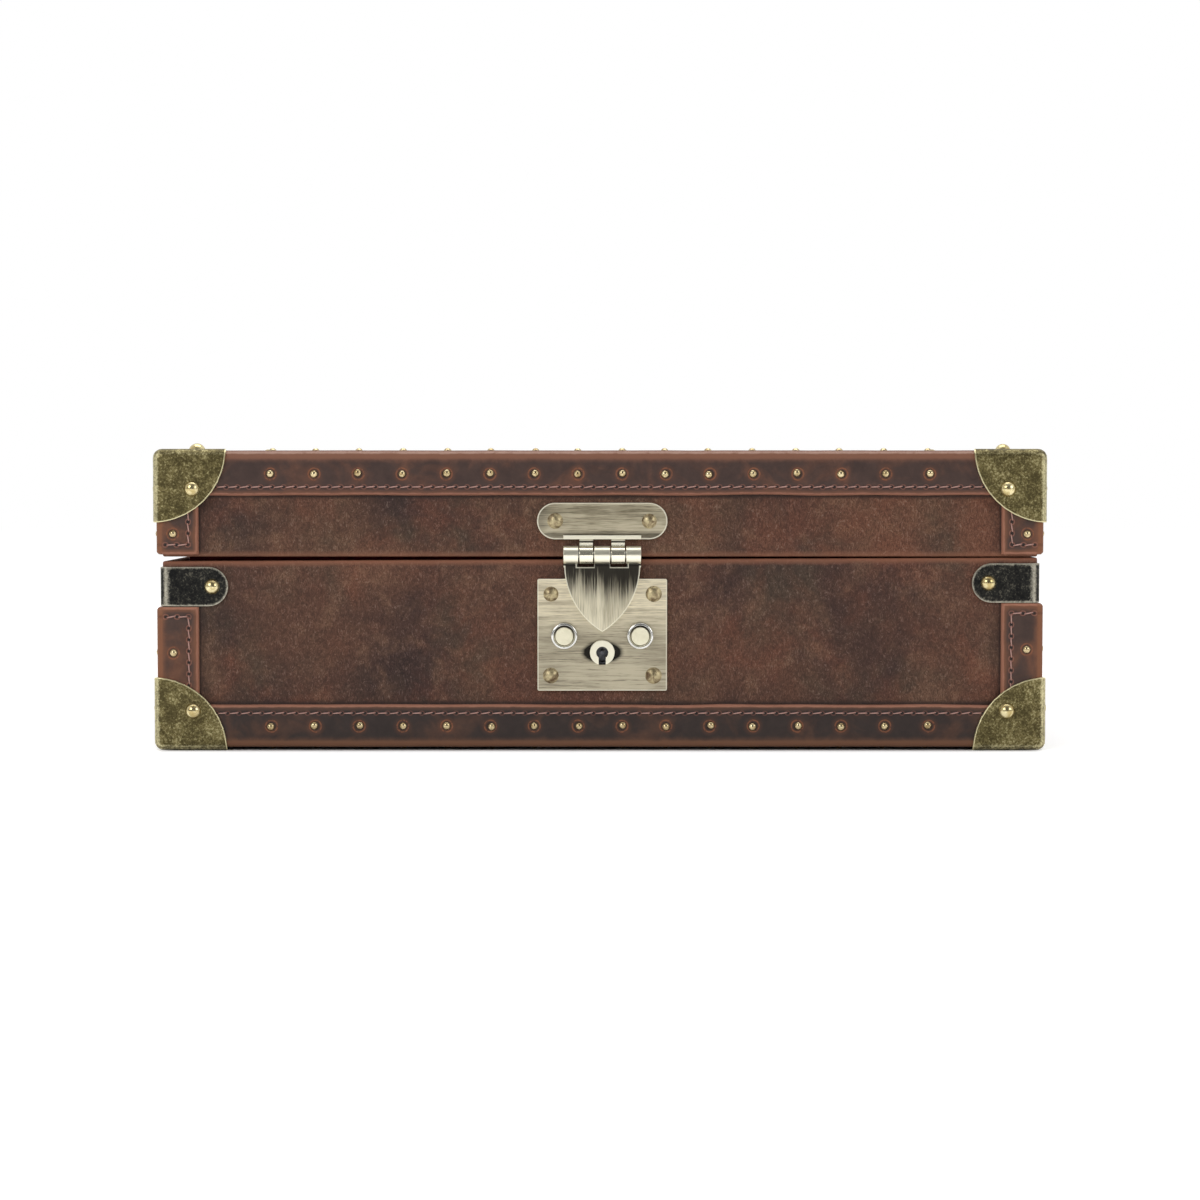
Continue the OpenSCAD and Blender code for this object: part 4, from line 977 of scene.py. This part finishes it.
def pressed(sharp, rub_and_highlight, lid):
    """A point of the sharp corner on the rounded one, and how bright it is there: worn on the rim and the
    corner, with a painted highlight on the bends.
    """
    inner = Vector([max(v, CAP_BEND) for v in sharp])
    away = (Vector(sharp) - inner).normalized()
    bent = math.degrees(math.acos(min(max(abs(c) for c in away), 1.0)))
    at_corner = min(1, 2 * min(abs(away.x), abs(away.y)))
    # Lying bends get less of the painted highlight, the lid's less than the base's.
    lying = min(1, 1.4 * abs(away.z)) * (1 - at_corner)
    wear_and_highlight = max(rub_and_highlight, 0.8 * math.exp(-((bent - 34) / 20) ** 2) * (1 - lying * (0.55 if lid else 0.25)))
    return inner + away * CAP_BEND, wear_and_highlight


def cap_mesh(mx, my, lid):
    spokes = cap_spokes()
    count = len(spokes)
    sharp = [((0.0, 0.0, 0.0), 1.0)]
    sharp += [([v * ring for v in spoke], 1.3 if ring > 26 else 0.0) for ring in RINGS for spoke in spokes]
    points, wear_and_highlight = zip(*[pressed(corner, rub_and_highlight, lid) for corner, rub_and_highlight in sharp])
    faces = [(0, 1 + i, 1 + (i + 1) % count) for i in range(count)]
    for r in range(len(RINGS) - 1):
        for i in range(count):
            a, b = 1 + r * count + i, 1 + r * count + (i + 1) % count
            faces.append((a, a + count, b + count, b))
    placed = [((p.x - CAP_X) * mx, (p.y - CAP_Y) * my, BOX_TOP - p.z if lid else p.z) for p in points]
    mesh = note(drawn("cap", placed, faces), "rub_and_highlight", wear_and_highlight)
    corner = Vector((-CAP_X * mx, -CAP_Y * my, BOX_TOP if lid else 0)) * MM
    inside = corner * 0.5 + Vector((0, 0, BOX_TOP * 0.25 * MM))
    if (mesh.polygons[-1].center - inside).dot(mesh.polygons[-1].normal) < 0:
        mesh.flip_normals()
    return mesh


def sheet_metal(piece, thickness, rim):
    """Thickness inwards and a narrow rounded rim."""
    shaped(piece, "sheet", "SOLIDIFY", thickness=thickness * MM, offset=-1.0, use_even_offset=True)
    shaped(piece, "rim", "BEVEL", width=rim * MM, segments=3, limit_method="ANGLE",
           angle_limit=math.radians(50))


for body in ("base", "lid"):
    for corner, (mx, my) in CORNERS.items():
        node = body + "_cap_" + corner
        cap = new_piece(node + "_brass", cap_mesh(mx, my, body == "lid"), cap_finish, body, "cap_brass", node)
        sheet_metal(cap, CAP_T * 0.97, 0.35)
print("eight corner caps")

# %% [markdown]
# ## Braces
#
# A brace is a dark metal strap with round ends, bent round an upright corner. It is laid out flat,
# as it was cut, and each column of points is then wrapped round the bend.

# %% Braces
BRACE_T, BRACE_REACH = 1.0, 24.5
BRACE_X, BRACE_Y = PANEL_X + BRACE_T, PANEL_Y + BRACE_T
BEND_R = BRACE_T + 1.8
BRACE_STEPS = (-1, -0.94, -0.85, -0.6, -0.3, 0, 0.3, 0.6, 0.85, 0.94, 1)


def wrapped(s, half_arc):
    """Where a place along the flat strap comes to lie round the corner."""
    a = abs(s)
    if a <= half_arc:
        angle = math.pi / 4 - a / BEND_R
        along, out = BEND_R - BEND_R * math.sin(angle), BEND_R - BEND_R * math.cos(angle)
    else:
        along, out = BEND_R + a - half_arc, 0
    return (along, out) if s >= 0 else (out, along)


def brace_mesh(mx, my):
    end_r = BRACE_H / 2
    arc = BEND_R * math.pi / 2
    straight = BRACE_REACH - BEND_R - end_r
    places = [share * arc / 2 for share in (0.0, 0.2, 0.4, 0.55, 0.7, 0.85, 1.0)]
    places += [arc / 2 + straight * share for share in (0.12, 0.4, 0.7, 1.0)]
    places += [arc / 2 + straight + end_r * math.sin(math.pi / 2 * i / 12) for i in range(1, 13)]
    rows, values = [], []
    for s in [-p for p in reversed(places[1:])] + places:
        x, y = wrapped(s, arc / 2)
        past = abs(s) - (arc / 2 + straight)
        half = end_r if past <= 0 else max(end_r ** 2 - past ** 2, 0) ** 0.5
        # A painted highlight down the bend, as bright metal.
        bend_highlight = 0.9 * math.exp(-((90 * abs(s) / arc - 34) / 24) ** 2)
        rows.append([((x - BRACE_X) * mx, (y - BRACE_Y) * my, brace_level(mx) + t * half)
                     for t in BRACE_STEPS])
        from_edge = [end_r - (max(past, 0) ** 2 + (t * half) ** 2) ** 0.5 for t in BRACE_STEPS]
        values += [max(1 - gap / 1.2, bend_highlight, 0.0) for gap in from_edge]
    mesh = mended(note(grid_mesh("brace", rows), "rub_and_highlight", values), 2e-5, outward=False)
    middle = mesh.polygons[len(mesh.polygons) // 2]
    if middle.normal.dot(middle.center) < 0:
        mesh.flip_normals()
    return mesh


for corner, (mx, my) in CORNERS.items():
    node = "brace_" + corner
    strap = new_piece(node + "_metal", brace_mesh(mx, my), brace_finish, "base", "brace_bronze", node)
    sheet_metal(strap, BRACE_T * 0.97, 0.3)
print("four braces")

# %% [markdown]
# ## Tacks and rivets
#
# More than two hundred tacks and forty rivets are the same dome again and again, which is what
# Geometry Nodes are good at. Python only says where each one stands and which way it faces. The tree
# sets a dome there, with a little random size and tilt, and its diameter and height are inputs.


# %% Trees and what they grow
def geometry_tree(name, **sockets):
    """An empty Geometry Nodes tree with named inputs: its board, then the wires of its inputs."""
    tree = bpy.data.node_groups.new(name, "GeometryNodeTree")
    board = Board(tree)
    tree.interface.new_socket("Geometry", in_out="INPUT", socket_type="NodeSocketGeometry")
    for label, value in sockets.items():
        kind = {float: "Float", int: "Int", type(None): "Material"}[type(value)]
        made = tree.interface.new_socket(label, in_out="INPUT", socket_type="NodeSocket" + kind)
        if value is not None:
            made.default_value = value
    tree.interface.new_socket("Geometry", in_out="OUTPUT", socket_type="NodeSocketGeometry")
    return board, *board.node("NodeGroupInput", out=("Geometry", *sockets))


def random_value(board, kind, seed, low, high):
    """A random number or vector for each point."""
    first, out = (0, 0) if kind == "FLOAT_VECTOR" else (2, 1)
    bounds = {first: low, first + 1: high}
    return board.node("FunctionNodeRandomValue", {"data_type": kind}, {**bounds, "Seed": seed}, out)


def noted_facing(board):
    """The facing that each guide point has noted."""
    return board.node("GeometryNodeInputNamedAttribute", {"data_type": "FLOAT_VECTOR"},
                      {"Name": "out"}, "Attribute")


def finished_tree(board, shape, points, turn, metal, **more):
    """Ends a tree: a shape on every point, made real and given its material."""
    set_out = board.node("GeometryNodeInstanceOnPoints", inputs={
        "Points": points, "Instance": shape, "Rotation": turn, **more})
    real = board.node("GeometryNodeRealizeInstances", inputs={0: set_out})
    painted = board.node("GeometryNodeSetMaterial", inputs={"Geometry": real, "Material": metal})
    board.node("NodeGroupOutput", inputs={0: painted})


def grown(name, board, places, values, edges=()):
    """Runs a tree on guide points with their facings, and returns the plain mesh that it makes."""
    spots, ways = zip(*places)
    guide = note(drawn(name + "_guide", spots, edges=edges), "out", ways)
    holder = linked(name + "_guide", guide)
    modifier = shaped(holder, "grow", "NODES", node_group=board.tree)
    by_label = {s.name: s.identifier for s in board.tree.interface.items_tree if s.in_out == "INPUT"}
    for label, value in values.items():
        modifier[by_label[label]] = value
    made = frozen(holder)
    made.name = name
    return made


# %% A tree that sets domes on points
heads, points, wide, high, segments, tilt, seed, metal = geometry_tree(
    "domed_heads", Diameter=3 * MM, Height=MM, Segments=12, Tilt=0.05, Seed=1, Metal=None)
half = wide * 0.5
radius = (half * half + high * high) / (high * 2.0)     # the head is the top of a ball
rings = heads.node("FunctionNodeIntegerMath", {"operation": "DIVIDE"}, {0: segments, 1: 2})
ball = heads.node("GeometryNodeMeshUVSphere", inputs={"Segments": segments, "Rings": rings, "Radius": radius})
lowered = heads.node("GeometryNodeTransform", inputs={
    "Geometry": ball, "Translation": heads.vector(z=high - radius)})
x, y, z = heads.split(heads.node("GeometryNodeInputPosition"))
dome = heads.node("GeometryNodeSetPosition", inputs={
    "Geometry": lowered, "Position": heads.vector(x, y, heads.most(z, -0.3 * MM))})
leaning = heads.node("ShaderNodeVectorMath", {"operation": "MULTIPLY_ADD"}, {
    0: random_value(heads, "FLOAT_VECTOR", seed, (-1, -1, -1), (1, 1, 1)),
    1: heads.vector(tilt, tilt, tilt), 2: noted_facing(heads)})
upright = heads.node("FunctionNodeAlignRotationToVector", {"axis": "Z"}, {"Vector": leaning})
finished_tree(heads, dome, points, upright, metal, Scale=random_value(heads, "FLOAT", seed, 0.95, 1.05))

# %% Where the tacks stand
TACK_ACROSS = 2.9
BAND_X, BAND_Y = PANEL_X + BAND_T, PANEL_Y + BAND_T


def settled(spot, way, turn, lid):
    """A point of the base's front and its facing, on another side of the box or on the lid."""
    if lid:
        spot, way = (spot[0], spot[1], BOX_TOP - spot[2]), (way[0], way[1], -way[2])
    return turned(spot, turn), turned(way, turn)


def edge_tacks(width, lid):
    """Points and facings of the tacks on both faces of the four bindings of one half."""
    places = []
    for turn, half, out in SIDES.values():
        gaps, pitch = tack_row(2 * half)
        for i in range(gaps + 1):
            for face in ("side", "flat"):
                random.seed(turn * 1000 + i * 10 + len(face) + (500 if lid else 0))
                along = -half + TACK_END + i * pitch + random.uniform(-0.5, 0.5)
                off = width / 2 + random.uniform(-0.35, 0.35)
                if face == "side":
                    place = (along, -out - BAND_T - 0.1, CAP_T + off), (0, -1, 0)
                else:
                    place = (along, -out - BAND_T + off, CAP_T - 0.1 - (LID_RAISE if lid else 0)), (0, 0, -1)
                places.append(settled(*place, turn, lid))
    return places


def on_corners(places_of):
    """The points and facings that a function lists for the left or right, mirrored to all corners."""
    return [((x * mx, y * my, z), (nx * mx, ny * my, nz))
            for mx, my in CORNERS.values() for (x, y, z), (nx, ny, nz) in places_of(mx)]


def two_faces(x, y, inward, z, sunk=0.0):
    """A place on the front face and one on the left face near the front left corner."""
    return [((-x + inward, -y - sunk, z), (0, -1, 0)), ((-x - sunk, -y + inward, z), (-1, 0, 0))]


for body, width in (("base", BASE_BAND_W), ("lid", LID_BAND_W)):
    lid = body == "lid"
    places = edge_tacks(width, lid) + on_corners(
        lambda mx: two_faces(BAND_X, BAND_Y, STRIP_TACK_OUT, strip_levels(lid, mx)[2], 0.05))
    mesh = grown(body + "_tack_heads", heads, places, {
        "Diameter": TACK_ACROSS * MM, "Height": 1.0 * MM, "Segments": 12, "Tilt": 0.10, "Seed": 4,
        "Metal": tack_finish})
    new_piece(body + "_tack_heads", mesh, tack_finish, body, "tack_brass", body + "_tacks")
    print(body, len(places), "tacks,", len(mesh.polygons), "faces")

# %% Where the rivets stand
CAP_RIVET, BRACE_RIVET = 14.3, 18.7
RIVET_ACROSS, RIVET_HIGH, OLD_RIVET_HIGH = 5.7, 2.0, 1.35
LOCK_RIVET_X, LOCK_RIVET_Z = 18.4, 14.65     # from the middle of the lock plate
LOCK_T, PLATE_T = 1.6, 1.2
FRONT = (0, -1, 0)


def rivet_heads(name, places, finish, high, body, *replaced):
    mesh = grown(name, heads, places, {
        "Diameter": RIVET_ACROSS * MM, "Height": high * MM, "Segments": 32, "Tilt": 0.03, "Seed": 9,
        "Metal": finish})
    new_piece(name, mesh, finish, body, "rivet_brass", *replaced)


def upper_cap(mx):
    level = BOX_TOP - CAP_RIVET
    return two_faces(CAP_X, CAP_Y, CAP_RIVET, level) + [
        ((-CAP_X + CAP_RIVET, -CAP_Y + CAP_RIVET, BOX_TOP), (0, 0, 1))]


base_rivets = on_corners(lambda mx: two_faces(CAP_X, CAP_Y, CAP_RIVET, CAP_RIVET)) + on_corners(
    lambda mx: two_faces(BRACE_X, BRACE_Y, BRACE_RIVET, brace_level(mx)))
lock_rivets = [((LOCK_X + sx * LOCK_RIVET_X, -PANEL_Y - LOCK_T, LOCK_Z + sz * LOCK_RIVET_Z), FRONT)
               for sx in (-1, 1) for sz in (-1, 1)]
bracket_rivets = [((LOCK_X + sx * BRACKET_SIDE, -PANEL_Y - PLATE_T, BRACKET_Z), FRONT) for sx in (-1, 1)]
rivet_heads("base_rivet_heads", base_rivets, rivet_finish, RIVET_HIGH, "base", "base_rivets")
rivet_heads("lock_rivet_heads", lock_rivets, old_rivet_finish, OLD_RIVET_HIGH, "base")
rivet_heads("lid_rivet_heads", on_corners(upper_cap), rivet_finish, RIVET_HIGH, "lid", "lid_rivets")
rivet_heads("bracket_rivet_heads", bracket_rivets, old_rivet_finish, OLD_RIVET_HIGH, "lid")
print("rivets set")

# %% [markdown]
# ## Stitches
#
# The seams are saddle-sewn in a thick pinkish thread, one stitch to every four millimetres. The
# tree walks along a guide line, sets a short plump stitch at each step and slants them in turn.

# %% A tree that sews along lines
sew, line, pitch, long, thick, slant, seed, thread = geometry_tree(
    "saddle_stitches", Pitch=STITCH_PITCH * MM, Length=3 * MM, Thread=0.7 * MM, Slant=0.2, Seed=1,
    Material=None)
walked = sew.node("GeometryNodeResampleCurve", {"mode": "LENGTH"}, {
    "Curve": sew.node("GeometryNodeMeshToCurve", inputs={"Mesh": line}), "Length": pitch})
ball = sew.node("GeometryNodeMeshUVSphere", inputs={"Segments": 8, "Rings": 6, "Radius": 0.5})
lying = sew.node("GeometryNodeTransform", inputs={"Geometry": ball, "Rotation": (0, math.pi / 2, 0)})
stitch = sew.node("GeometryNodeTransform", inputs={
    "Geometry": lying, "Scale": sew.vector(long, thick, thick)})
ahead = sew.node("FunctionNodeAlignRotationToVector", {"axis": "X"}, {
    "Vector": sew.node("GeometryNodeInputTangent")})
flat = sew.node("FunctionNodeAlignRotationToVector", {"axis": "Z", "pivot_axis": "X"}, {
    "Rotation": ahead, "Vector": noted_facing(sew)})
angle = random_value(sew, "FLOAT", seed, 0.3, 1.7) * slant
slanted = sew.node("FunctionNodeRotateRotation", {"rotation_space": "LOCAL"}, {
    0: flat, 1: sew.node("FunctionNodeEulerToRotation", inputs={0: sew.vector(z=angle)})})
finished_tree(sew, stitch, walked, slanted, thread)

# %% Where the seams run
STITCH_SPARE = 0.01       # a guide line is this much over a whole number of stitches
SEAM_END = 20             # a binding's seam ends this far from the corner
STRIP_SEAM_END = 8
SEAM_DEPTH, CROSS_DEPTH = leg_height(STRIP_SEAM_IN, CORNER_W), leg_height(8, CORNER_W)


def binding_seams(width, lid):
    """Ends of the guide lines on both faces of the four bindings of one half."""
    places = []
    depth, long = leg_height(SEAM_IN, width), width - BAND_T - SEAM_IN
    low = CAP_T + BAND_T - (depth * (1 + LID_RAISE / BAND_T) if lid else depth)
    for turn, half, out in SIDES.values():
        start = -int(2 * (half - SEAM_END) / STITCH_PITCH) * STITCH_PITCH / 2 - STITCH_SPARE
        for along in (start, -start):
            places.append(settled((along, -out - depth, CAP_T + BAND_T + long), (0, -1, 0), turn, lid))
        for along in (start, -start):
            places.append(settled((along, -out + long, low), (0, 0, -1), turn, lid))
    return places


def strip_seams(lid):
    """Ends of the guide lines on the corner strips of one half: up the cut edge and across."""
    inset = CORNER_W - BAND_T
    up = 1 if lid else -1

    def seams_of(mx):
        low, high = strip_levels(lid, mx)[:2]
        cross = low + STRIP_SEAM_IN if lid else high - STRIP_SEAM_IN
        stitches = int((high - low - STRIP_SEAM_IN - STRIP_SEAM_END) / STITCH_PITCH)
        near = cross + up * 0.5 * STITCH_PITCH
        far = near + up * (stitches * STITCH_PITCH + STITCH_SPARE)
        ends = [two_faces(PANEL_X, PANEL_Y, inward, z, depth) for inward, z, depth in (
            (inset - STRIP_SEAM_IN, near, SEAM_DEPTH), (inset - STRIP_SEAM_IN, far, SEAM_DEPTH),
            (inset - FIRST_STITCH, cross, CROSS_DEPTH),
            (inset - FIRST_STITCH - STITCH_PITCH - STITCH_SPARE, cross, CROSS_DEPTH))]
        return [end[face] for face in (0, 1) for end in ends]

    return on_corners(seams_of)


for body, width in (("base", BASE_BAND_W), ("lid", LID_BAND_W)):
    places = binding_seams(width, body == "lid") + strip_seams(body == "lid")
    lines = [(i, i + 1) for i in range(0, len(places), 2)]
    mesh = grown(body + "_stitches", sew, places, {
        "Pitch": STITCH_PITCH * MM, "Length": 3.5 * MM, "Thread": 0.5 * MM, "Slant": 0.12, "Seed": 2,
        "Material": thread_finish}, lines)
    new_piece(body + "_stitches", mesh, thread_finish, body, "binding_leather")
    print(body, "stitches:", len(mesh.polygons) // 48)

# %% [markdown]
# ## Lock and hasp
#
# The lock plate, the bracket and the shield keep their CAD shapes with eased edges. The collars
# round the buttons are turned parts with a round section, so they are spun from a profile.

# %% Lock, buttons and hasp
BEAD = (0.3, 0.7, 1.1, 1.57, 2.0, 2.4, 2.8)  # angles over a collar's rounded top
COLLAR = [(3.3, 0.0), (3.3, 1.2), *((4.05 - 0.75 * math.cos(a), 1.2 + 0.6 * math.sin(a)) for a in BEAD),
          (4.84, 1.1), (4.9, 0.6), (4.9, -0.1), (3.3, -0.1), (3.3, 0.0)]   # (radius, outwards)
SPIN_STEPS = 40


def lathe(profile, x, y, z):
    """Spins points (radius, outwards) round an axis that comes out of the front."""
    rows = [[(x + r * math.cos(turn), y - out, z + r * math.sin(turn)) for r, out in profile]
            for turn in full_turn(SPIN_STEPS)]
    return mended(grid_mesh("spun", rows + [rows[0]]), 1e-6)


collars = joined("collars", [lathe(COLLAR, LOCK_X + side * BUTTON_X, -PANEL_Y - LOCK_T, BUTTON_Z)
                             for side in (-1, 1)])
eased_copy("lock_plate", plate_finish, "base", "lock_brass", 0.3)
new_piece("button_collars", collars, collar_finish, "base", "lock_brass")
for side in ("left", "right"):
    eased_copy("button_" + side, button_finish, side + "_button", "lock_brass", 0.35, 3)
eased_copy("hasp_bracket", bracket_finish, "lid", "lock_brass", 0.25)
eased_copy("hasp_shield", shield_finish, "hasp", "lock_brass", 0.3)
finish_nodes(steel_finish, "button_spring_left", "button_spring_right", "catch_left", "catch_right",
             "hinge_pins", "hasp_pin", "hasp_staple")
finish_nodes(iron_finish, "key_follower")
finish_nodes(case_finish, "lock_case")
for body in ("base", "lid"):
    eased_copy("hinge_" + body + "_leaves", hinge_finish, body, "cap_brass", 0.25)
finish_nodes(rivet_finish, "hinge_base_screws", "hinge_lid_screws")

# %% [markdown]
# ## Inside
#
# The boards inside are covered, so their edges are as soft as cloth over wood makes them. The bare
# wood under the leather only needs its finish.

# %% Inside
finish_nodes(wood_finish, "base_carcass", "lid_carcass")
for node in ("liner_frame", "floor_board", "divider_long_front", "divider_long_back", "divider_cross_left",
             "divider_cross_middle", "divider_cross_right", "lid_lining"):
    eased_copy(node, lining_finish, "lid" if node == "lid_lining" else "base", "lining_velvet", 0.45, 3)
print("lined inside")

# %% [markdown]
# ## Cushions
#
# Each compartment holds a stuffed cushion. Stuffing pushes cloth outwards everywhere while the
# seams hold it back, and that is what a cloth simulation with inside pressure does. One cushion is
# swollen from a slightly small block and then copied, each copy turned and mirrored another way, so
# no two neighbours look alike. A corded welt is laid round it afterwards where the two halves meet.

# %% Swelling by simulation
PRESSURE = 4.0
LAST_FRAME = 20


def stuffed(name, mesh, held, cap):
    """Swells a closed mesh like a stuffed bag. held gives how firmly each point is sewn down,
    and cap is how far a point may move, in millimetres."""
    bag = linked(name + "_bag", mesh)
    sewn_down = bag.vertex_groups.new(name="sewn")
    for i, firm in enumerate(held):
        if firm > 0:
            sewn_down.add([i], firm, "REPLACE")
    cloth = bag.modifiers.new("stuffing", "CLOTH").settings
    cloth.use_pressure, cloth.uniform_pressure_force = True, PRESSURE
    cloth.effector_weights.gravity = 0
    cloth.vertex_group_mass, cloth.quality = "sewn", 6
    for frame_number in range(1, LAST_FRAME + 1):
        scene.frame_set(frame_number)
    swollen = bag.evaluated_get(bpy.context.evaluated_depsgraph_get()).data
    moves = [Vector(after.co) - Vector(before.co) for before, after in zip(mesh.vertices, swollen.vertices)]
    for point, move in zip(mesh.vertices, moves):
        if move.length > cap * MM:
            move = move.normalized() * cap * MM
        point.co = point.co + move
    bpy.data.objects.remove(bag)
    scene.frame_set(1)
    return mesh


# %% One cushion
CUSHION_HALF, CUSHION_H = 34.7, 30.0
CUSHION_START, CUSHION_SWELL = 31.6, 3.6
WELT_Z, WELT_R = 12.5, 0.9
VOXEL = 4.0
CIRCLE = full_turn(96)
LEVELS = ((0.0, 0.80), (0.6, 0.88), (3.0, 0.96), (8.0, 1.01), (12.5, 1.03), (16.0, 1.0), (19.5, 0.93),
          (22.5, 0.80), (24.6, 0.60), (25.8, 0.38), (26.3, 0.15))      # (height, share of the outline)


def pillow_ring(turn, share):
    """A point of the cushion's outline: a soft square whose sides pull in between its corners."""
    c, d = math.cos(turn), math.sin(turn)
    square = 1 / (abs(c) ** 5 + abs(d) ** 5) ** 0.2
    pulled = 1 - 0.05 * math.cos(2 * turn) ** 2
    return CUSHION_START * share * square * pulled * c, CUSHION_START * share * square * pulled * d


rows = [[(*pillow_ring(turn, share), z) for turn in CIRCLE] for z, share in LEVELS]
block = linked("block", mended(grid_mesh("block", rows, True)))
shaped(block, "voxels", "REMESH", mode="VOXEL", voxel_size=VOXEL * MM, use_smooth_shade=True)
cushion = frozen(block)
held = [1.0 if v.co.z < 1.2 * MM else (0.35 if abs(v.co.z - WELT_Z * MM) < 2.2 * MM else 0.0)
        for v in cushion.vertices]
cushion = stuffed("cushion", cushion, held, CUSHION_SWELL)
for v in cushion.vertices:
    v.co.x, v.co.y = [max(-CUSHION_HALF * MM, min(CUSHION_HALF * MM, c)) for c in (v.co.x, v.co.y)]
    v.co.z = max(0.0, min(CUSHION_H * MM, v.co.z))
print("one cushion:", len(cushion.polygons), "faces,",
      [round(max(v.co[i] for v in cushion.vertices) / MM, 1) for i in range(3)], "mm from its middle")


# %% Welt round the cushion
def tube(name, path, radius, closed=True, sides=8):
    """A round cord along a path of points."""
    rows = []
    count = len(path)
    for i, point in enumerate(path):
        ahead = path[(i + 1) % count] if closed or i + 1 < count else path[i]
        behind = path[i - 1] if closed or i > 0 else path[i]
        along = (Vector(ahead) - Vector(behind)).normalized()
        side = along.cross(Vector((0, 0, 1))).normalized()
        up = side.cross(along)
        rows.append([tuple(Vector(point) + (side * math.cos(a) + up * math.sin(a)) * radius)
                     for a in full_turn(sides)])
    if not closed:
        return mended(grid_mesh(name, rows, True))
    return mended(grid_mesh(name, [row + [row[0]] for row in rows + [rows[0]]]), 1e-6)


skin = BVHTree.FromPolygons([tuple(v.co) for v in cushion.vertices],
                            [tuple(p.vertices) for p in cushion.polygons])
welt_path = []
for turn in CIRCLE:
    way = Vector((-math.cos(turn), -math.sin(turn), 0))
    hit = skin.ray_cast(Vector((0, 0, WELT_Z * MM)) - way * 0.08, way)[0]
    x, y = (max(-CUSHION_HALF + WELT_R, min(CUSHION_HALF - WELT_R, c / MM)) for c in (hit.x, hit.y))
    welt_path.append((x, y, WELT_Z))
welt = tube("welt", welt_path, WELT_R)
print("welt of", len(welt.polygons), "faces")

# %% Twelve cushions
CELLS_X = (-110.1, -36.7, 36.7, 110.1)
CELLS_Y = {"front": -73.33, "middle": 0.0, "back": 73.33}
BOARD_Z = 11.7


def laid(mesh, x, y, quarter, flip):
    """A copy of a cushion's mesh in its compartment, turned by quarters and maybe mirrored."""
    copy = mesh.copy()
    turning = Matrix.Rotation(quarter * math.pi / 2, 4, "Z")
    place_it = Matrix.Translation(Vector((x, y, BOARD_Z)) * MM) @ turning
    if flip:
        place_it = place_it @ Matrix.Scale(-1, 4, (1, 0, 0))
    copy.transform(place_it)
    if flip:
        copy.flip_normals()
    return copy


def softened(piece):
    shaped(piece, "soft", "SUBSURF", levels=1, render_levels=1)


for r, (row, y) in enumerate(CELLS_Y.items()):
    ways = [((r * 3 + c * 5) % 4, (r + c) % 2 == 1) for c in range(4)]
    pillows, welts = (joined(name, [laid(mesh, x, y, q, f) for x, (q, f) in zip(CELLS_X, ways)])
                      for name, mesh in (("cushions", cushion), ("welts", welt)))
    softened(new_piece("cushions_" + row + "_stuffed", pillows, cushion_finish, "base", "cushion_velvet",
                       "cushions_" + row))
    new_piece("cushions_" + row + "_welts", welts, lining_finish, "base", "cushion_velvet")
print("twelve cushions")

# %% [markdown]
# ## Pad of the lid
#
# The pad under the lid is thin, so it is not voxelised. It is drawn as two sheets joined at their
# edges, with a point every six millimetres. The upper sheet is glued to the lid, and the lower one is
# sewn down along channels over the dividers, so the same simulation swells it into twelve fields.

# %% Pad of the lid
PAD_X, PAD_Y, PAD_TOP, PAD_SEWN = 145.9, 109.1, 97.3, 95.3
PAD_SWELL = 2.6
PAD_COLS, PAD_ROWS = 48, 36
PAD_FIELD = 12            # points from one channel to the next


def pad_x(c): return (-1 + 2 * c / PAD_COLS) * PAD_X
def pad_y(r): return (-1 + 2 * r / PAD_ROWS) * PAD_Y


def pad_shell():
    """The two sheets and how firmly each point is held."""
    points, firm, faces = [], [], []
    width = PAD_COLS + 1
    layer = width * (PAD_ROWS + 1)
    for lower, z in enumerate((PAD_TOP, PAD_SEWN)):
        for r in range(PAD_ROWS + 1):
            for c in range(width):
                rim = c in (0, PAD_COLS) or r in (0, PAD_ROWS)
                field = math.sin(math.pi * c / PAD_FIELD) * math.sin(math.pi * r / PAD_FIELD)
                sag = (0.4 if rim else 0) - 0.9 * abs(field) ** 0.5 if lower else 0
                points.append((pad_x(c), pad_y(r), z + sag))
                channel = c % PAD_FIELD == 0 or r % PAD_FIELD == 0
                firm.append(1.0 if not lower or rim or channel else 0.0)
    for r in range(PAD_ROWS):
        for c in range(PAD_COLS):
            a = r * width + c
            faces.append((a, a + 1, a + width + 1, a + width))
            faces.append((layer + a, layer + a + width, layer + a + width + 1, layer + a + 1))
    around = ([(0, c) for c in range(PAD_COLS)] + [(r, PAD_COLS) for r in range(PAD_ROWS)]
              + [(PAD_ROWS, c) for c in range(PAD_COLS, 0, -1)] + [(r, 0) for r in range(PAD_ROWS, 0, -1)])
    ring = [r * width + c for r, c in around]
    faces += [(a, layer + a, layer + b, b) for a, b in zip(ring, ring[1:] + ring[:1])]
    return mended(drawn("pad", points, faces)), firm


pad, firm = pad_shell()
pad = stuffed("pad", pad, firm, PAD_SWELL)
softened(new_piece("lid_pad_stuffed", pad, pad_finish, "lid", "cushion_velvet", "lid_pad"))
print("pad's lowest point", round(min(v.co.z for v in pad.vertices) / MM, 1), "mm")

# %% Cords in its channels
CORD_R, CORD_SIDES = 0.55, 6
CORD_Z = PAD_SEWN - 0.1


def cord_run(half, steps):
    """Places along a channel, a millimetre short of the pad's edges."""
    return [-half + 1 + (2 * half - 2) * i / steps for i in range(steps + 1)]


paths = [[(pad_x(c), y, CORD_Z) for y in cord_run(PAD_Y, 30)] for c in range(PAD_FIELD, PAD_COLS, PAD_FIELD)]
paths += [[(x, pad_y(r), CORD_Z) for x in cord_run(PAD_X, 40)] for r in range(PAD_FIELD, PAD_ROWS, PAD_FIELD)]
cords = joined("cords", [tube("cord", path, CORD_R, False, CORD_SIDES) for path in paths])
new_piece("lid_pad_cords", cords, lining_finish, "lid", "cushion_velvet")
